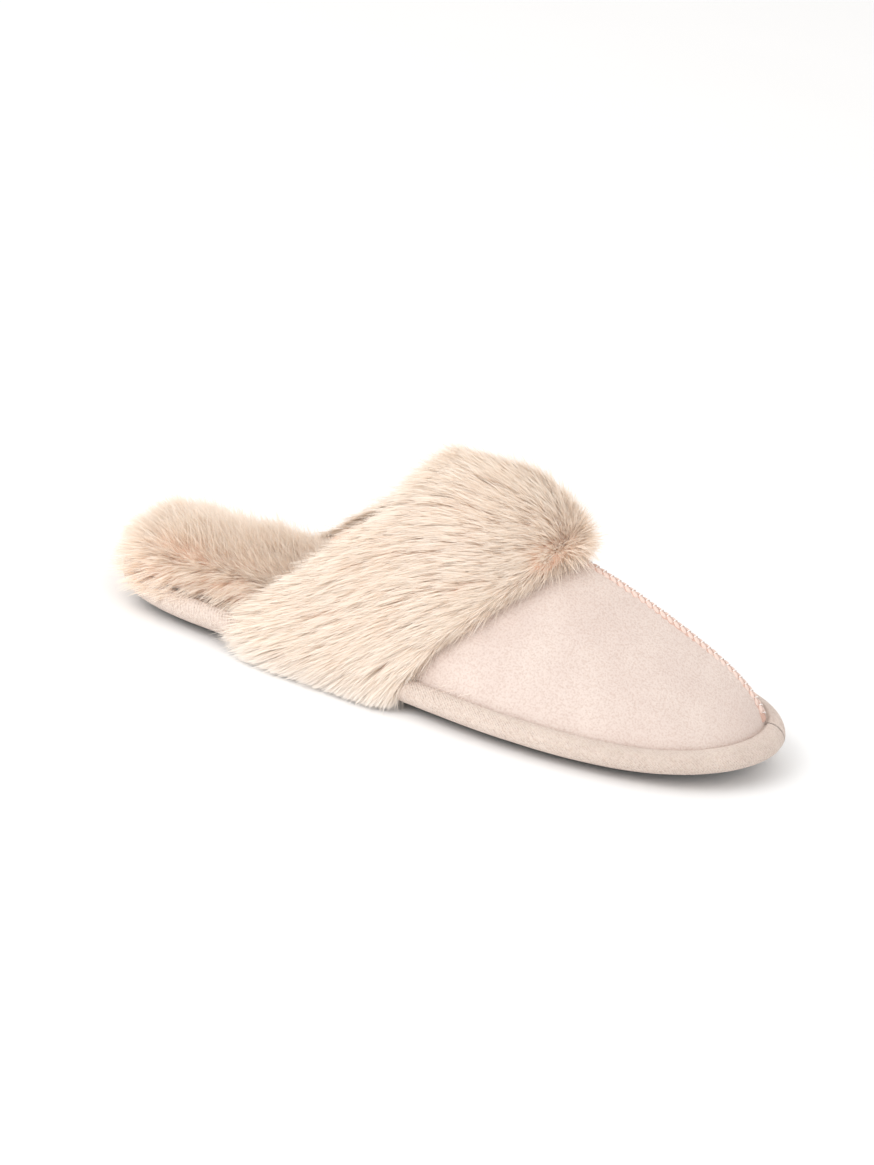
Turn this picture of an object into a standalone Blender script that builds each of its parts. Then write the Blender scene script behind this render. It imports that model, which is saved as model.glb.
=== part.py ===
"""Backless house slipper, right shoe: moulded ribbed outsole, padded edge covered in faux suede, long-pile footbed,
faux suede vamp with a raised centre seam, and a rolled cuff of long pile round the opening.

Metres, +Z up, toe towards +X, big-toe side towards +Y. Inside this file x runs from the heel tip (0) to the toe tip
(LENGTH) and z = 0 is the floor; at the end everything moves so that the origin is the middle of the footprint.
"""

import functools
import math
from collections import namedtuple

import bmesh
import bpy
import numpy as np
from mathutils import Vector

# Overall sizes
LENGTH = 0.262
BALL_WIDTH = 0.110
TOE_SPRING = 0.006
TOE_SPRING_FROM = 0.70
HEEL_LIFT = 0.003
HEEL_LIFT_TO = 0.15
CLEARANCE = 0.0003

# Half widths of the footprint, as shares of BALL_WIDTH, at shares of LENGTH counted from the heel
OutlineRow = namedtuple("OutlineRow", "along medial lateral")
OUTLINE = [
    OutlineRow(0.03, 0.223, 0.245),
    OutlineRow(0.11, 0.355, 0.345),
    OutlineRow(0.25, 0.388, 0.398),
    OutlineRow(0.42, 0.378, 0.462),
    OutlineRow(0.56, 0.428, 0.534),
    OutlineRow(0.70, 0.463, 0.550),
    OutlineRow(0.83, 0.438, 0.495),
    OutlineRow(0.92, 0.350, 0.376),
    OutlineRow(0.98, 0.195, 0.200),
]
OUTLINE_SAMPLES = 720
STATIONS = 32

# Outsole
SOLE_INSET = 0.0095
SOLE_THICKNESS = 0.004
BAND_WIDTH = 0.0112
WAIST_BAND_GAIN = 0.0030
WAIST_FROM = 0.10
WAIST_TO = 0.56
PANEL_RECESS = 0.0013
RIB_PITCH = 0.00575
RIB_WIDTH = 0.0040
RIB_END_GAP = 0.0012
RIB_CORNER = 0.0009
RIB_EDGE = 0.0004
RIB_SLANT = math.radians(3)
RIB_ROOT = 0.0004
DISC_RADIUS = 0.0123
DISC_ALONG = 0.410
DISC_LATERAL = 0.0065
DISC_GAP = 0.0010
DISC_SIDES = 24

# Padded edge
ROLL_RADIUS = 0.0048
ROLL_CENTRE_HEIGHT = 0.0080
ROLL_STEP = 30
DECK_HEIGHT = 0.0120
FEATHER_INSET = 0.0060
TOE_ROLL_GAIN = 0.0040
TOE_ROLL_FROM = 0.80

# Vamp
WALL = 0.0024
INSTEP_RISE = 0.053
TOE_BLUNTNESS = 0.15
TOE_BLUNT_RUN = 0.05
CREST_BOW = 1.05
THROAT_X = 0.114
SIDE_EDGE_X = 0.067
EDGE_SWEEP = 2.4
ARCH_WIDTH_POWER = 1.54
ARCH_HEIGHT_POWER = 1.50
VAMP_ACROSS = 28
VAMP_ALONG = 14

# Centre seam
SEAM_WIDTH = 0.0052
SEAM_HEIGHT = 0.0016
SEAM_STITCH_RISE = 0.0007
SEAM_STITCH_PITCH = 0.0032
SEAM_TOE_GAP = 0.0012

# Pile cuff
CUFF_BAND = 0.052
PILE = 0.0200
CUFF_SIDE_PILE = 0.0095
CUFF_DRAPE = 0.0070
CUFF_LIP = 0.0100
CUFF_INSIDE_DEPTH = 0.0140
CUFF_INSIDE_PILE = 0.0050
CUFF_INSIDE_EDGE = 0.0008
CUFF_FOOT_SHARE = 0.985
CUFF_ACROSS = 28

# Pile footbed
FOOTBED_HEEL_HEIGHT = 0.0140
FOOTBED_TOE_HEIGHT = 0.0035
FOOTBED_THINS_FROM = 0.058
FOOTBED_THINS_TO = 0.130
FOOTBED_NARROWS_FROM = 0.012
FOOTBED_NARROWS_TO = 0.050

# Locks of pile
LOCK_LENGTH = 0.0150
LOCK_STAND = 0.0038
LOCK_HALF_WIDTH = 0.0052
LOCK_HALF_DEPTH = 0.0026
LOCK_TIP = 0.0004
LOCK_SIDES = 6
LOCK_ROOT = 0.0030
CUFF_LOCK_PITCH = 0.0145
CUFF_LOCK_SPAN = 0.86
FOOTBED_LOCK_PITCH = 0.0125

SUEDE = (0.93, 0.80, 0.72)
PILE_COLOUR = (0.95, 0.82, 0.73)
THREAD = (0.93, 0.74, 0.66)
RUBBER = (0.045, 0.040, 0.037)


def ease(value):
    value = np.clip(value, 0, 1)
    return value * value * (3 - 2 * value)


def smooth_loop(points, count):
    """Closed cubic curve through the points: count positions and their outward normals."""
    ring = np.array(points + points[:1], float)
    steps = np.sqrt(np.linalg.norm(np.diff(ring, axis=0), axis=1))
    n = len(steps)
    system = np.zeros((n, n))
    right = np.zeros((n, 2))
    for i in range(n):
        before, after = steps[i - 1], steps[i]
        system[i, i - 1] += after
        system[i, i] += 2 * (before + after)
        system[i, (i + 1) % n] += before
        slope_in = (ring[i] - ring[(i - 1) % n]) / before
        slope_out = (ring[(i + 1) % n] - ring[i]) / after
        right[i] = 3 * (after * slope_in + before * slope_out)
    slopes = np.linalg.solve(system, right)
    at = np.linspace(0, steps.sum(), count, endpoint=False)
    knots = np.concatenate([[0], np.cumsum(steps)])
    i = np.clip(np.searchsorted(knots, at, side="right") - 1, 0, n - 1)
    h = steps[i][:, None]
    t = ((at - knots[i]) / steps[i])[:, None]
    start, end = ring[i], ring[i + 1]
    s0, s1 = slopes[i] * h, slopes[(i + 1) % n] * h
    place = (
        (2 * t**3 - 3 * t**2 + 1) * start
        + (t**3 - 2 * t**2 + t) * s0
        + (3 * t**2 - 2 * t**3) * end
        + (t**3 - t**2) * s1
    )
    along = (6 * t**2 - 6 * t) * start + (3 * t**2 - 4 * t + 1) * s0 + (6 * t - 6 * t**2) * end + (3 * t**2 - 2 * t) * s1
    normal = np.stack([along[:, 1], -along[:, 0]], axis=1)
    return place, normal / np.linalg.norm(normal, axis=1)[:, None]


@functools.lru_cache(maxsize=None)
def footprint():
    """The edge of the slipper seen from above: heel tip first, along the lateral side, and back up the medial side."""
    lateral = [(r.along * LENGTH, -r.lateral * BALL_WIDTH) for r in OUTLINE]
    medial = [(r.along * LENGTH, r.medial * BALL_WIDTH) for r in reversed(OUTLINE)]
    return smooth_loop([(0.0, 0.0)] + lateral + [(LENGTH, 0.0)] + medial, OUTLINE_SAMPLES)


def share_beyond(x, start):
    """0 before the share start of the length, rising to 1 at the toe tip."""
    return np.clip((np.asarray(x) / LENGTH - start) / (1 - start), 0, 1)


def lift(x):
    """How far the underside rises off the floor at the toe and at the back of the heel."""
    toe = share_beyond(x, TOE_SPRING_FROM) ** 2
    heel = np.clip((HEEL_LIFT_TO - np.asarray(x) / LENGTH) / HEEL_LIFT_TO, 0, 1) ** 2
    return TOE_SPRING * toe + HEEL_LIFT * heel


@functools.lru_cache(maxsize=None)
def sides(inset, toe_gain=0.0):
    """The footprint drawn in by inset, and by toe_gain more at the toe: (x, y) rising in x for each side."""
    place, normal = footprint()
    depth = inset + toe_gain * share_beyond(place[:, 0], TOE_ROLL_FROM) ** 2
    drawn = place - normal * depth[:, None]
    heel, toe = int(drawn[:, 0].argmin()), int(drawn[:, 0].argmax())
    around = np.roll(drawn, -heel, axis=0)
    toe = (toe - heel) % len(drawn)
    return around[: toe + 1], np.concatenate([around[:1], around[toe:][::-1]])


def reach(inset, toe_gain=0.0):
    """The lowest and highest x of the drawn-in footprint."""
    lateral, _ = sides(inset, toe_gain)
    return float(lateral[0, 0]), float(lateral[-1, 0])


def side_y(x, side, inset, toe_gain=0.0):
    """y of the drawn-in footprint at x, on the lateral (-1) or medial (+1) side."""
    lateral, medial = sides(inset, toe_gain)
    line = medial if side > 0 else lateral
    return np.interp(x, line[:, 0], line[:, 1])


def new_object(name, vertices, faces, collection):
    mesh = bpy.data.meshes.new(name)
    mesh.from_pydata([tuple(float(c) for c in v) for v in vertices], [], faces)
    mesh.update()
    shape = bpy.data.objects.new(name, mesh)
    collection.objects.link(shape)
    tidy = bmesh.new()
    tidy.from_mesh(mesh)
    bmesh.ops.recalc_face_normals(tidy, faces=tidy.faces)
    if tidy.calc_volume(signed=True) < 0:
        bmesh.ops.reverse_faces(tidy, faces=tidy.faces)
    bmesh.ops.triangulate(tidy, faces=tidy.faces)
    tidy.to_mesh(mesh)
    tidy.free()
    return shape


def skin(rings, base=0):
    """Quads between rings that all have the same number of points, whose first vertex has the index base."""
    count = len(rings[0])
    faces = []
    for level in range(len(rings) - 1):
        first = base + level * count
        for i in range(count):
            j = (i + 1) % count
            faces.append((first + i, first + j, first + count + j, first + count + i))
    return faces


def loft(name, rings, collection):
    """A closed body through the rings, with a plain face over each end."""
    count = len(rings[0])
    faces = skin(rings)
    faces.append(tuple(range(count)))
    faces.append(tuple(range((len(rings) - 1) * count, len(rings) * count)))
    return new_object(name, [point for ring in rings for point in ring], faces, collection)


def stack(name, rings, collection):
    """A closed body through rings round the footprint, with a ladder of faces across the foot over each end."""
    count = len(rings[0])
    half = count // 2
    faces = skin(rings)
    for base in (0, (len(rings) - 1) * count):
        faces.append((base, base + 1, base + count - 1))
        for i in range(1, half - 1):
            faces.append((base + i, base + i + 1, base + count - i - 1, base + count - i))
        faces.append((base + half - 1, base + half, base + half + 1))
    return new_object(name, [point for ring in rings for point in ring], faces, collection)


def edge_ring(inset, height, toe_gain=0.0):
    """Points round the footprint: heel tip, lateral side, toe tip, medial side. inset and height are functions of x."""
    low, high = reach(0.0)
    start = low + float(inset(low))
    end = high - float(inset(high)) - toe_gain
    turn = np.linspace(0, math.pi, STATIONS + 1)
    xs = start + (end - start) * (1 - np.cos(turn)) / 2
    lateral = [float(side_y(x, -1, float(inset(x)), toe_gain)) for x in xs]
    medial = [float(side_y(x, 1, float(inset(x)), toe_gain)) for x in xs]
    lateral[0] = (lateral[0] + medial[0]) / 2
    lateral[-1] = (lateral[-1] + medial[-1]) / 2
    z = np.array([float(height(x)) for x in xs]) + lift(xs)
    ring = list(zip(xs, lateral, z))
    return ring + list(zip(xs[-2:0:-1], medial[-2:0:-1], z[-2:0:-1]))


def level_ring(inset, height, toe_gain=0.0):
    return edge_ring(lambda x: inset, lambda x: height, toe_gain)


def surface(name, colour, roughness):
    made = bpy.data.materials.new(name)
    made.use_nodes = True
    shader = made.node_tree.nodes["Principled BSDF"]
    shader.inputs["Base Color"].default_value = (*colour, 1.0)
    shader.inputs["Roughness"].default_value = roughness
    return made


def dress(shape, material):
    shape.data.materials.append(material)
    shape.data.shade_smooth()
    shape.data.set_sharp_from_angle(angle=math.radians(40))


def boolean(shape, other, operation):
    step = shape.modifiers.new(operation.title() + "_" + other.name, "BOOLEAN")
    step.operation = operation
    step.object = other
    step.solver = "EXACT"


def hide(shape):
    shape.hide_render = True
    shape.display_type = "WIRE"


# Outsole


def panel_inset(x):
    """How far the ribbed panel's edge stands inside the footprint."""
    share = np.asarray(x) / LENGTH
    waist = ease((share - WAIST_FROM) / WAIST_FROM) * ease((WAIST_TO - share) / WAIST_FROM)
    return SOLE_INSET + BAND_WIDTH + WAIST_BAND_GAIN * float(waist)


def rib_end(x, side):
    """Distance from the centre line at which a slanted rib through (x, 0) ends."""
    y = 0.0
    for _ in range(6):
        at = x + y * math.tan(RIB_SLANT)
        y = float(side_y(at, side, panel_inset(at) + RIB_END_GAP))
    return y


def disc_centre():
    return DISC_ALONG * LENGTH, -DISC_LATERAL


def rib_spans(x):
    """The stretches of y that a rib at x covers: one, or two where the disc parts it."""
    low, high = rib_end(x, -1), rib_end(x, 1)
    disc_x, disc_y = disc_centre()
    clear = DISC_RADIUS + DISC_GAP + RIB_WIDTH / 2 - RIB_CORNER
    offset = (disc_x - x - disc_y * math.tan(RIB_SLANT)) * math.cos(RIB_SLANT)
    if abs(offset) >= clear:
        return [(low, high)]
    middle = disc_y + offset * math.sin(RIB_SLANT)
    half = math.sqrt(clear**2 - offset**2) * math.cos(RIB_SLANT)
    return [(low, middle - half), (middle + half, high)]


def rib_ring(x, low, high, shrink, height):
    """An oblong with cut corners, slanted across the sole."""
    half = RIB_WIDTH / 2 - shrink
    cut = RIB_CORNER
    bottom, top = low + shrink, high - shrink
    corners = [
        (-half, bottom + cut),
        (-half + cut, bottom),
        (half - cut, bottom),
        (half, bottom + cut),
        (half, top - cut),
        (half - cut, top),
        (-half + cut, top),
        (-half, top - cut),
    ]
    ring = []
    for across, y in corners:
        px = x + y * math.tan(RIB_SLANT) + across
        ring.append((px, y, height + float(lift(px))))
    return ring


def make_ribs(collection):
    low, high = reach(SOLE_INSET + BAND_WIDTH + RIB_END_GAP)
    count = int((high - low) / RIB_PITCH)
    first = (low + high - (count - 1) * RIB_PITCH) / 2
    vertices, faces = [], []
    for k in range(count):
        x = first + k * RIB_PITCH
        for start, end in rib_spans(x):
            if end - start < RIB_WIDTH - 2 * RIB_EDGE:
                continue
            levels = [(0.0, PANEL_RECESS + RIB_ROOT), (0.0, RIB_EDGE), (RIB_EDGE, 0.0)]
            rings = [rib_ring(x, start, end, shrink, height) for shrink, height in levels]
            base, count_in_ring = len(vertices), len(rings[0])
            faces += skin(rings, base)
            faces.append(tuple(range(base, base + count_in_ring)))
            last = base + (len(rings) - 1) * count_in_ring
            faces.append(tuple(range(last, last + count_in_ring)))
            vertices += [point for ring in rings for point in ring]
    ribs = new_object("sole_ribs", vertices, faces, collection)
    hide(ribs)
    return ribs


def make_disc(collection):
    x, y = disc_centre()
    depth = PANEL_RECESS + RIB_ROOT
    bpy.ops.mesh.primitive_cylinder_add(vertices=DISC_SIDES, radius=DISC_RADIUS, depth=depth, location=(x, y, depth / 2))
    disc = bpy.context.active_object
    disc.name = "sole_disc"
    for old in list(disc.users_collection):
        old.objects.unlink(disc)
    collection.objects.link(disc)
    hide(disc)
    return disc


def make_outsole(parts, tools):
    edge = SOLE_INSET
    rows = [
        (lambda x: panel_inset(x), PANEL_RECESS),
        (lambda x: panel_inset(x) - 0.0005, 0.0006),
        (lambda x: panel_inset(x) - 0.0040, 0.0003),
        (lambda x: edge + 0.0035, 0.0008),
        (lambda x: edge + 0.0012, 0.0016),
        (lambda x: edge, 0.0030),
        (lambda x: edge + 0.0006, SOLE_THICKNESS),
    ]
    rings = [edge_ring(inset, lambda x, height=height: height) for inset, height in rows]
    outsole = stack("outsole", rings, parts)
    boolean(outsole, make_ribs(tools), "UNION")
    boolean(outsole, make_disc(tools), "UNION")
    return outsole


# Padded edge and deck


def edge_profile(grow=0.0):
    """(inset, height, toe gain) rows from the underside out round the roll and in over the deck."""
    under = SOLE_THICKNESS + CLEARANCE - grow
    rows = [(SOLE_INSET - 0.0008, under, 0.0)]
    for angle in range(-90, 91, ROLL_STEP):
        turn = math.radians(angle)
        radius = ROLL_RADIUS + grow
        gain = TOE_ROLL_GAIN * float(ease((angle + 90) / 180))
        rows.append((ROLL_RADIUS - radius * math.cos(turn), ROLL_CENTRE_HEIGHT + radius * math.sin(turn), gain))
    rows.append((FEATHER_INSET + grow, DECK_HEIGHT + grow, TOE_ROLL_GAIN))
    return rows


def make_padded_edge(name, collection, grow=0.0):
    return stack(name, [level_ring(*row) for row in edge_profile(grow)], collection)


# Vamp


def toe_x():
    """x of the vamp's outer face at the toe."""
    return reach(FEATHER_INSET + CLEARANCE, TOE_ROLL_GAIN)[1]


def crest_rise(x):
    """Height of the vamp's centre line over the deck at x."""
    t = (toe_x() - x) / (toe_x() - THROAT_X)
    ramp = t * (1 + CREST_BOW) - CREST_BOW * t * t
    return INSTEP_RISE * ((1 - TOE_BLUNTNESS) * ramp + TOE_BLUNTNESS * (1 - math.exp(-t / TOE_BLUNT_RUN)))


def half_width(x, side):
    return abs(float(side_y(x, side, FEATHER_INSET + CLEARANCE, TOE_ROLL_GAIN)))


def arch(x, v, outward=0.0):
    """A point over the foot at x. v runs from -1 at the lateral feather line over the crest to +1 at the medial one.

    outward 0 is the vamp's outer face. Below 0 it is that many metres inside it. Up to 1 it is the share of the way
    to the outside of the full pile, which drapes over the padded edge."""
    side = 1 if v > 0 else -1
    turn = abs(v) * math.pi / 2
    half, rise = half_width(x, side), crest_rise(x)
    base = DECK_HEIGHT + CLEARANCE + float(lift(x))
    if outward < 0:
        half, rise = half + outward, rise + outward
    else:
        half += outward * CUFF_SIDE_PILE
        rise += outward * (PILE + CUFF_DRAPE)
        base -= outward * CUFF_DRAPE
    y = side * max(half, 0.0) * math.sin(turn) ** ARCH_WIDTH_POWER
    return Vector((x, y, base + max(rise, 0.0) * max(math.cos(turn), 0.0) ** ARCH_HEIGHT_POWER))


def opening_x(v):
    """x of the vamp's back edge at v."""
    return THROAT_X - (THROAT_X - SIDE_EDGE_X) * math.sin(abs(v) * math.pi / 2) ** EDGE_SWEEP


def across_values(count):
    return [2 * i / count - 1 for i in range(count + 1)]


def make_vamp(parts):
    """Two faces of one wall on the same lines, closed round the opening and along the feather line."""
    values = across_values(VAMP_ACROSS)
    vertices, faces = [], []
    for depth in (0.0, -WALL):
        front = toe_x() - CLEARANCE + depth
        for v in values:
            back = opening_x(v)
            for i in range(VAMP_ALONG):
                share = 1 - (1 - i / VAMP_ALONG) ** 1.7
                vertices.append(arch(back + (front - back) * share, v, depth))
        vertices.append(arch(front, 0, depth))
    block = len(values) * VAMP_ALONG + 1

    def at(layer, j, i):
        if i == VAMP_ALONG:
            return layer * block + block - 1
        return layer * block + j * VAMP_ALONG + i

    for layer in (0, 1):
        for j in range(len(values) - 1):
            for i in range(VAMP_ALONG):
                quad = [at(layer, j, i), at(layer, j + 1, i), at(layer, j + 1, i + 1), at(layer, j, i + 1)]
                faces.append(list(dict.fromkeys(quad)))
    for j in range(len(values) - 1):
        faces.append([at(0, j, 0), at(1, j, 0), at(1, j + 1, 0), at(0, j + 1, 0)])
    for j in (0, len(values) - 1):
        for i in range(VAMP_ALONG):
            faces.append([at(0, j, i), at(0, j, i + 1), at(1, j, i + 1), at(1, j, i)])
    return new_object("vamp", vertices, faces, parts)


# Centre seam


def y_to_v(x, y):
    """The v at which the vamp's outer face stands at y."""
    side = 1 if y > 0 else -1
    share = min(abs(y) / max(half_width(x, side), abs(y), 1e-9), 1.0) ** (1 / ARCH_WIDTH_POWER)
    return side * math.asin(share) / (math.pi / 2)


def crest_samples():
    """Points of the vamp's centre line at half the stitch pitch, from the cuff to the toe, with their normals."""
    start = THROAT_X + CUFF_BAND + CLEARANCE
    end = toe_x() - SEAM_TOE_GAP
    xs = end - (end - start) * np.linspace(1, 0, 400) ** 2
    line = np.array([(x, arch(x, 0).z) for x in xs])
    travelled = np.concatenate([[0], np.cumsum(np.linalg.norm(np.diff(line, axis=0), axis=1))])
    steps = 2 * round(travelled[-1] / SEAM_STITCH_PITCH)
    at = np.linspace(0, travelled[-1], steps + 1)
    xs = np.interp(at, travelled, line[:, 0])
    zs = np.interp(at, travelled, line[:, 1])
    slope = np.stack([np.gradient(xs), np.gradient(zs)], axis=1)
    slope /= np.linalg.norm(slope, axis=1)[:, None]
    return [(float(x), (-float(dz), float(dx))) for x, (dx, dz) in zip(xs, slope)]


# Section of the seam: share of its half width, share of its height
SEAM_SECTION = [(-1.0, 0.0), (-0.9, 0.55), (-0.4, 1.0), (0.4, 1.0), (0.9, 0.55), (1.0, 0.0), (0.0, 0.15)]


def make_centre_seam(parts):
    rings = []
    for i, (x, normal) in enumerate(crest_samples()):
        height = SEAM_HEIGHT + SEAM_STITCH_RISE * (i % 2)
        half = SEAM_WIDTH / 2 * (1.0 if i % 2 else 0.9)
        ring = []
        for across, up in SEAM_SECTION:
            y = across * half
            foot = arch(x, y_to_v(x, y))
            stand = 1.7 * CLEARANCE + up * height
            ring.append((foot.x + normal[0] * stand, y, foot.z + normal[1] * stand))
        rings.append(ring)
    return loft("centre_seam", rings, parts)


# Cuff

# The cuff's section: where x is counted from, the distance from there, and how far outside the vamp's face it is
CuffRow = namedtuple("CuffRow", "start along outward")
CUFF_OUTSIDE = [
    CuffRow("front", 0.0008, 0.14),
    CuffRow("front", 0.0020, 0.40),
    CuffRow("front", -0.0030, 0.74),
    CuffRow("front", -0.0130, 0.93),
    CuffRow("front", -0.0250, 1.00),
    CuffRow("edge", 0.0150, 1.00),
    CuffRow("edge", 0.0050, 0.90),
    CuffRow("edge", -0.0035, 0.62),
    CuffRow("edge", -0.0085, 0.28),
]


def cuff_outside_point(row, v):
    start = opening_x(v) + (CUFF_BAND if row.start == "front" else 0.0)
    return arch(start + row.along, v, row.outward)


def cuff_section(v):
    front, edge = opening_x(v) + CUFF_BAND, opening_x(v)
    crown = math.cos(abs(v) * math.pi / 2) ** 0.6
    inside = CUFF_INSIDE_EDGE + (CUFF_INSIDE_PILE - CUFF_INSIDE_EDGE) * crown
    gap = CLEARANCE / CUFF_SIDE_PILE
    inner_face = -(WALL + 1.6 * CLEARANCE)
    depth = CUFF_INSIDE_DEPTH
    rows = [cuff_outside_point(row, v) for row in CUFF_OUTSIDE]
    rows.append(arch(edge - CUFF_LIP, v, -0.1 * inside))
    rows.append(arch(edge - 0.8 * CUFF_LIP, v, inner_face - 0.6 * inside))
    rows.append(arch(edge - 0.2 * CUFF_LIP, v, inner_face - inside))
    rows.append(arch(edge + 0.6 * depth, v, inner_face - 0.8 * inside))
    rows.append(arch(edge + depth, v, inner_face - 0.2 * inside))
    rows.append(arch(edge + 0.5 * depth, v, inner_face))
    rows.append(arch(edge - 2 * CLEARANCE, v, inner_face))
    rows.append(arch(edge - 2 * CLEARANCE, v, gap))
    rows.append(arch((edge + front) / 2, v, gap))
    rows.append(arch(front, v, gap))
    return rows


def cuff_surface(v, share):
    """A point on the cuff's outside: share 0 is its front edge on the vamp, 1 its back edge."""
    at = share * (len(CUFF_OUTSIDE) - 1)
    i = min(int(at), len(CUFF_OUTSIDE) - 2)
    start, end = (cuff_outside_point(row, v) for row in CUFF_OUTSIDE[i : i + 2])
    return start.lerp(end, at - i)


# Rows of locks on the cuff: share across its outside, shift in pitches, lean to the back, size
LockRow = namedtuple("LockRow", "share shift lean size")
CUFF_LOCKS = [
    LockRow(0.30, 0.0, -0.9, 0.85),
    LockRow(0.47, 0.5, -0.3, 1.0),
    LockRow(0.64, 0.0, 0.5, 1.0),
    LockRow(0.80, 0.5, 1.0, 0.9),
]


def lock_rings(foot, normal, flow, size):
    """A tapered lock that leaves the surface at foot and bends over from the normal to the flow."""
    side = normal.cross(flow).normalized()
    wide, deep = LOCK_HALF_WIDTH * size, LOCK_HALF_DEPTH * size
    stations = [
        (foot - normal * LOCK_ROOT - flow * deep, 0.9 * wide, deep),
        (foot + normal * (0.35 * LOCK_STAND * size) + flow * (0.4 * LOCK_LENGTH * size), 0.8 * wide, 0.9 * deep),
        (foot + normal * (LOCK_STAND * size) + flow * (LOCK_LENGTH * size), LOCK_TIP, LOCK_TIP),
    ]
    rings = []
    for i, (point, half_width, half_depth) in enumerate(stations):
        ahead = stations[min(i + 1, 2)][0] - stations[max(i - 1, 0)][0]
        up = ahead.cross(side).normalized()
        turns = [2 * math.pi * k / LOCK_SIDES for k in range(LOCK_SIDES)]
        ring = [point + side * (half_width * math.cos(a)) + up * (half_depth * math.sin(a)) for a in turns]
        rings.append([tuple(corner) for corner in ring])
    return rings


def make_locks(name, locks, collection):
    vertices, faces = [], []
    for rings in locks:
        base = len(vertices)
        faces += skin(rings, base)
        faces.append(tuple(range(base, base + LOCK_SIDES)))
        last = base + (len(rings) - 1) * LOCK_SIDES
        faces.append(tuple(range(last, last + LOCK_SIDES)))
        vertices += [point for ring in rings for point in ring]
    made = new_object(name, vertices, faces, collection)
    hide(made)
    return made


def cuff_locks(rows):
    locks = []
    fine = np.linspace(-CUFF_LOCK_SPAN, CUFF_LOCK_SPAN, 181)
    for row in rows:
        line = np.array([cuff_surface(v, row.share) for v in fine])
        travelled = np.concatenate([[0], np.cumsum(np.linalg.norm(np.diff(line, axis=0), axis=1))])
        count = int(travelled[-1] / CUFF_LOCK_PITCH)
        for k in range(count):
            v = float(np.interp((k + 0.25 + row.shift) * CUFF_LOCK_PITCH, travelled, fine))
            foot = cuff_surface(v, row.share)
            back = (cuff_surface(v, row.share + 0.04) - cuff_surface(v, row.share - 0.04)).normalized()
            down = (cuff_surface(v + 0.03, row.share) - cuff_surface(v - 0.03, row.share)).normalized()
            normal = down.cross(back).normalized()
            fall = max(-1.0, min(1.0, 2.5 * v))
            flow = (down * fall + back * row.lean).normalized()
            locks.append(lock_rings(foot, normal, flow, row.size))
    return locks


def make_cuff(parts, tools):
    cuff = loft("pile_cuff", [cuff_section(v * CUFF_FOOT_SHARE) for v in across_values(CUFF_ACROSS)], parts)
    for first in (0, 1):
        boolean(cuff, make_locks(f"cuff_locks_{first}", cuff_locks(CUFF_LOCKS[first::2]), tools), "UNION")
    cutter = make_padded_edge("edge_clearance", tools, CLEARANCE)
    hide(cutter)
    boolean(cuff, cutter, "DIFFERENCE")
    return cuff


# Footbed

# Rings of the pile footbed: inset at the open heel, inset inside the vamp, share of the pile's height
FootbedRow = namedtuple("FootbedRow", "heel_inset vamp_inset height")
FOOTBED = [
    FootbedRow(0.0066, 0.0114, 0.0),
    FootbedRow(0.0040, 0.0132, 0.28),
    FootbedRow(0.0034, 0.0168, 0.55),
    FootbedRow(0.0058, 0.0218, 0.80),
    FootbedRow(0.0110, 0.0260, 0.95),
    FootbedRow(0.0200, 0.0330, 1.05),
]


def footbed_height(x):
    thins = ease((x - FOOTBED_THINS_FROM) / (FOOTBED_THINS_TO - FOOTBED_THINS_FROM))
    return FOOTBED_HEEL_HEIGHT + (FOOTBED_TOE_HEIGHT - FOOTBED_HEEL_HEIGHT) * float(thins)


def footbed_inset(x, row):
    narrows = ease((x - FOOTBED_NARROWS_FROM) / (FOOTBED_NARROWS_TO - FOOTBED_NARROWS_FROM))
    return row.heel_inset + (row.vamp_inset - row.heel_inset) * float(narrows)


def footbed_level(x, row):
    return DECK_HEIGHT + CLEARANCE + row.height * footbed_height(x)


def footbed_rim_locks():
    """Locks round the open heel, leaning outwards."""
    locks = []
    rim = FOOTBED[3]
    place, normal = footprint()
    reach_of_rim = FOOTBED_NARROWS_TO
    step = round(FOOTBED_LOCK_PITCH / np.linalg.norm(place[1] - place[0]))
    count = int(1.2 * reach_of_rim / FOOTBED_LOCK_PITCH)
    for k in range(-count, count + 1):
        at, out = place[k * step], normal[k * step]
        x = float(at[0])
        inset = footbed_inset(x, rim) + 0.0010
        foot = Vector((x - out[0] * inset, at[1] - out[1] * inset, footbed_level(x, rim) + float(lift(x))))
        outward = Vector((out[0], out[1], 0.0))
        up = (outward + Vector((0.0, 0.0, 1.2))).normalized()
        flow = (outward - Vector((0.0, 0.0, 0.15))).normalized()
        locks.append(lock_rings(foot, up, flow, 0.6 if k % 2 else 0.7))
    return locks


def footbed_top_locks(first):
    """Every second row of locks on the top, leaning back."""
    locks = []
    crown = FOOTBED[5]
    rows = int((SIDE_EDGE_X + FOOTBED_LOCK_PITCH) / FOOTBED_LOCK_PITCH)
    for j in range(first, rows, 2):
        x = (j + 0.4) * FOOTBED_LOCK_PITCH
        inset = footbed_inset(x, crown)
        low, high = (float(side_y(x, side, inset)) for side in (-1, 1))
        across = max(2, round((high - low) / FOOTBED_LOCK_PITCH))
        for i in range(across):
            y = 1.3 * (low + (high - low) * (i + 0.25 + 0.5 * (j % 2)) / across)
            foot = Vector((x, y, footbed_level(x, crown) + float(lift(x))))
            flow = Vector((-1.0, y / BALL_WIDTH * 2, 0.0)).normalized()
            locks.append(lock_rings(foot, Vector((0.0, 0.0, 1.0)), flow, 0.8))
    return locks


def make_footbed(parts, tools):
    rings = []
    for row in FOOTBED:
        inset = functools.partial(footbed_inset, row=row)
        height = functools.partial(footbed_level, row=row)
        rings.append(edge_ring(inset, height, TOE_ROLL_GAIN))
    footbed = stack("pile_footbed", rings, parts)
    sets = [footbed_rim_locks(), footbed_top_locks(1), footbed_top_locks(2)]
    for i, locks in enumerate(sets):
        boolean(footbed, make_locks(f"footbed_locks_{i}", locks, tools), "UNION")
    return footbed


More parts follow.
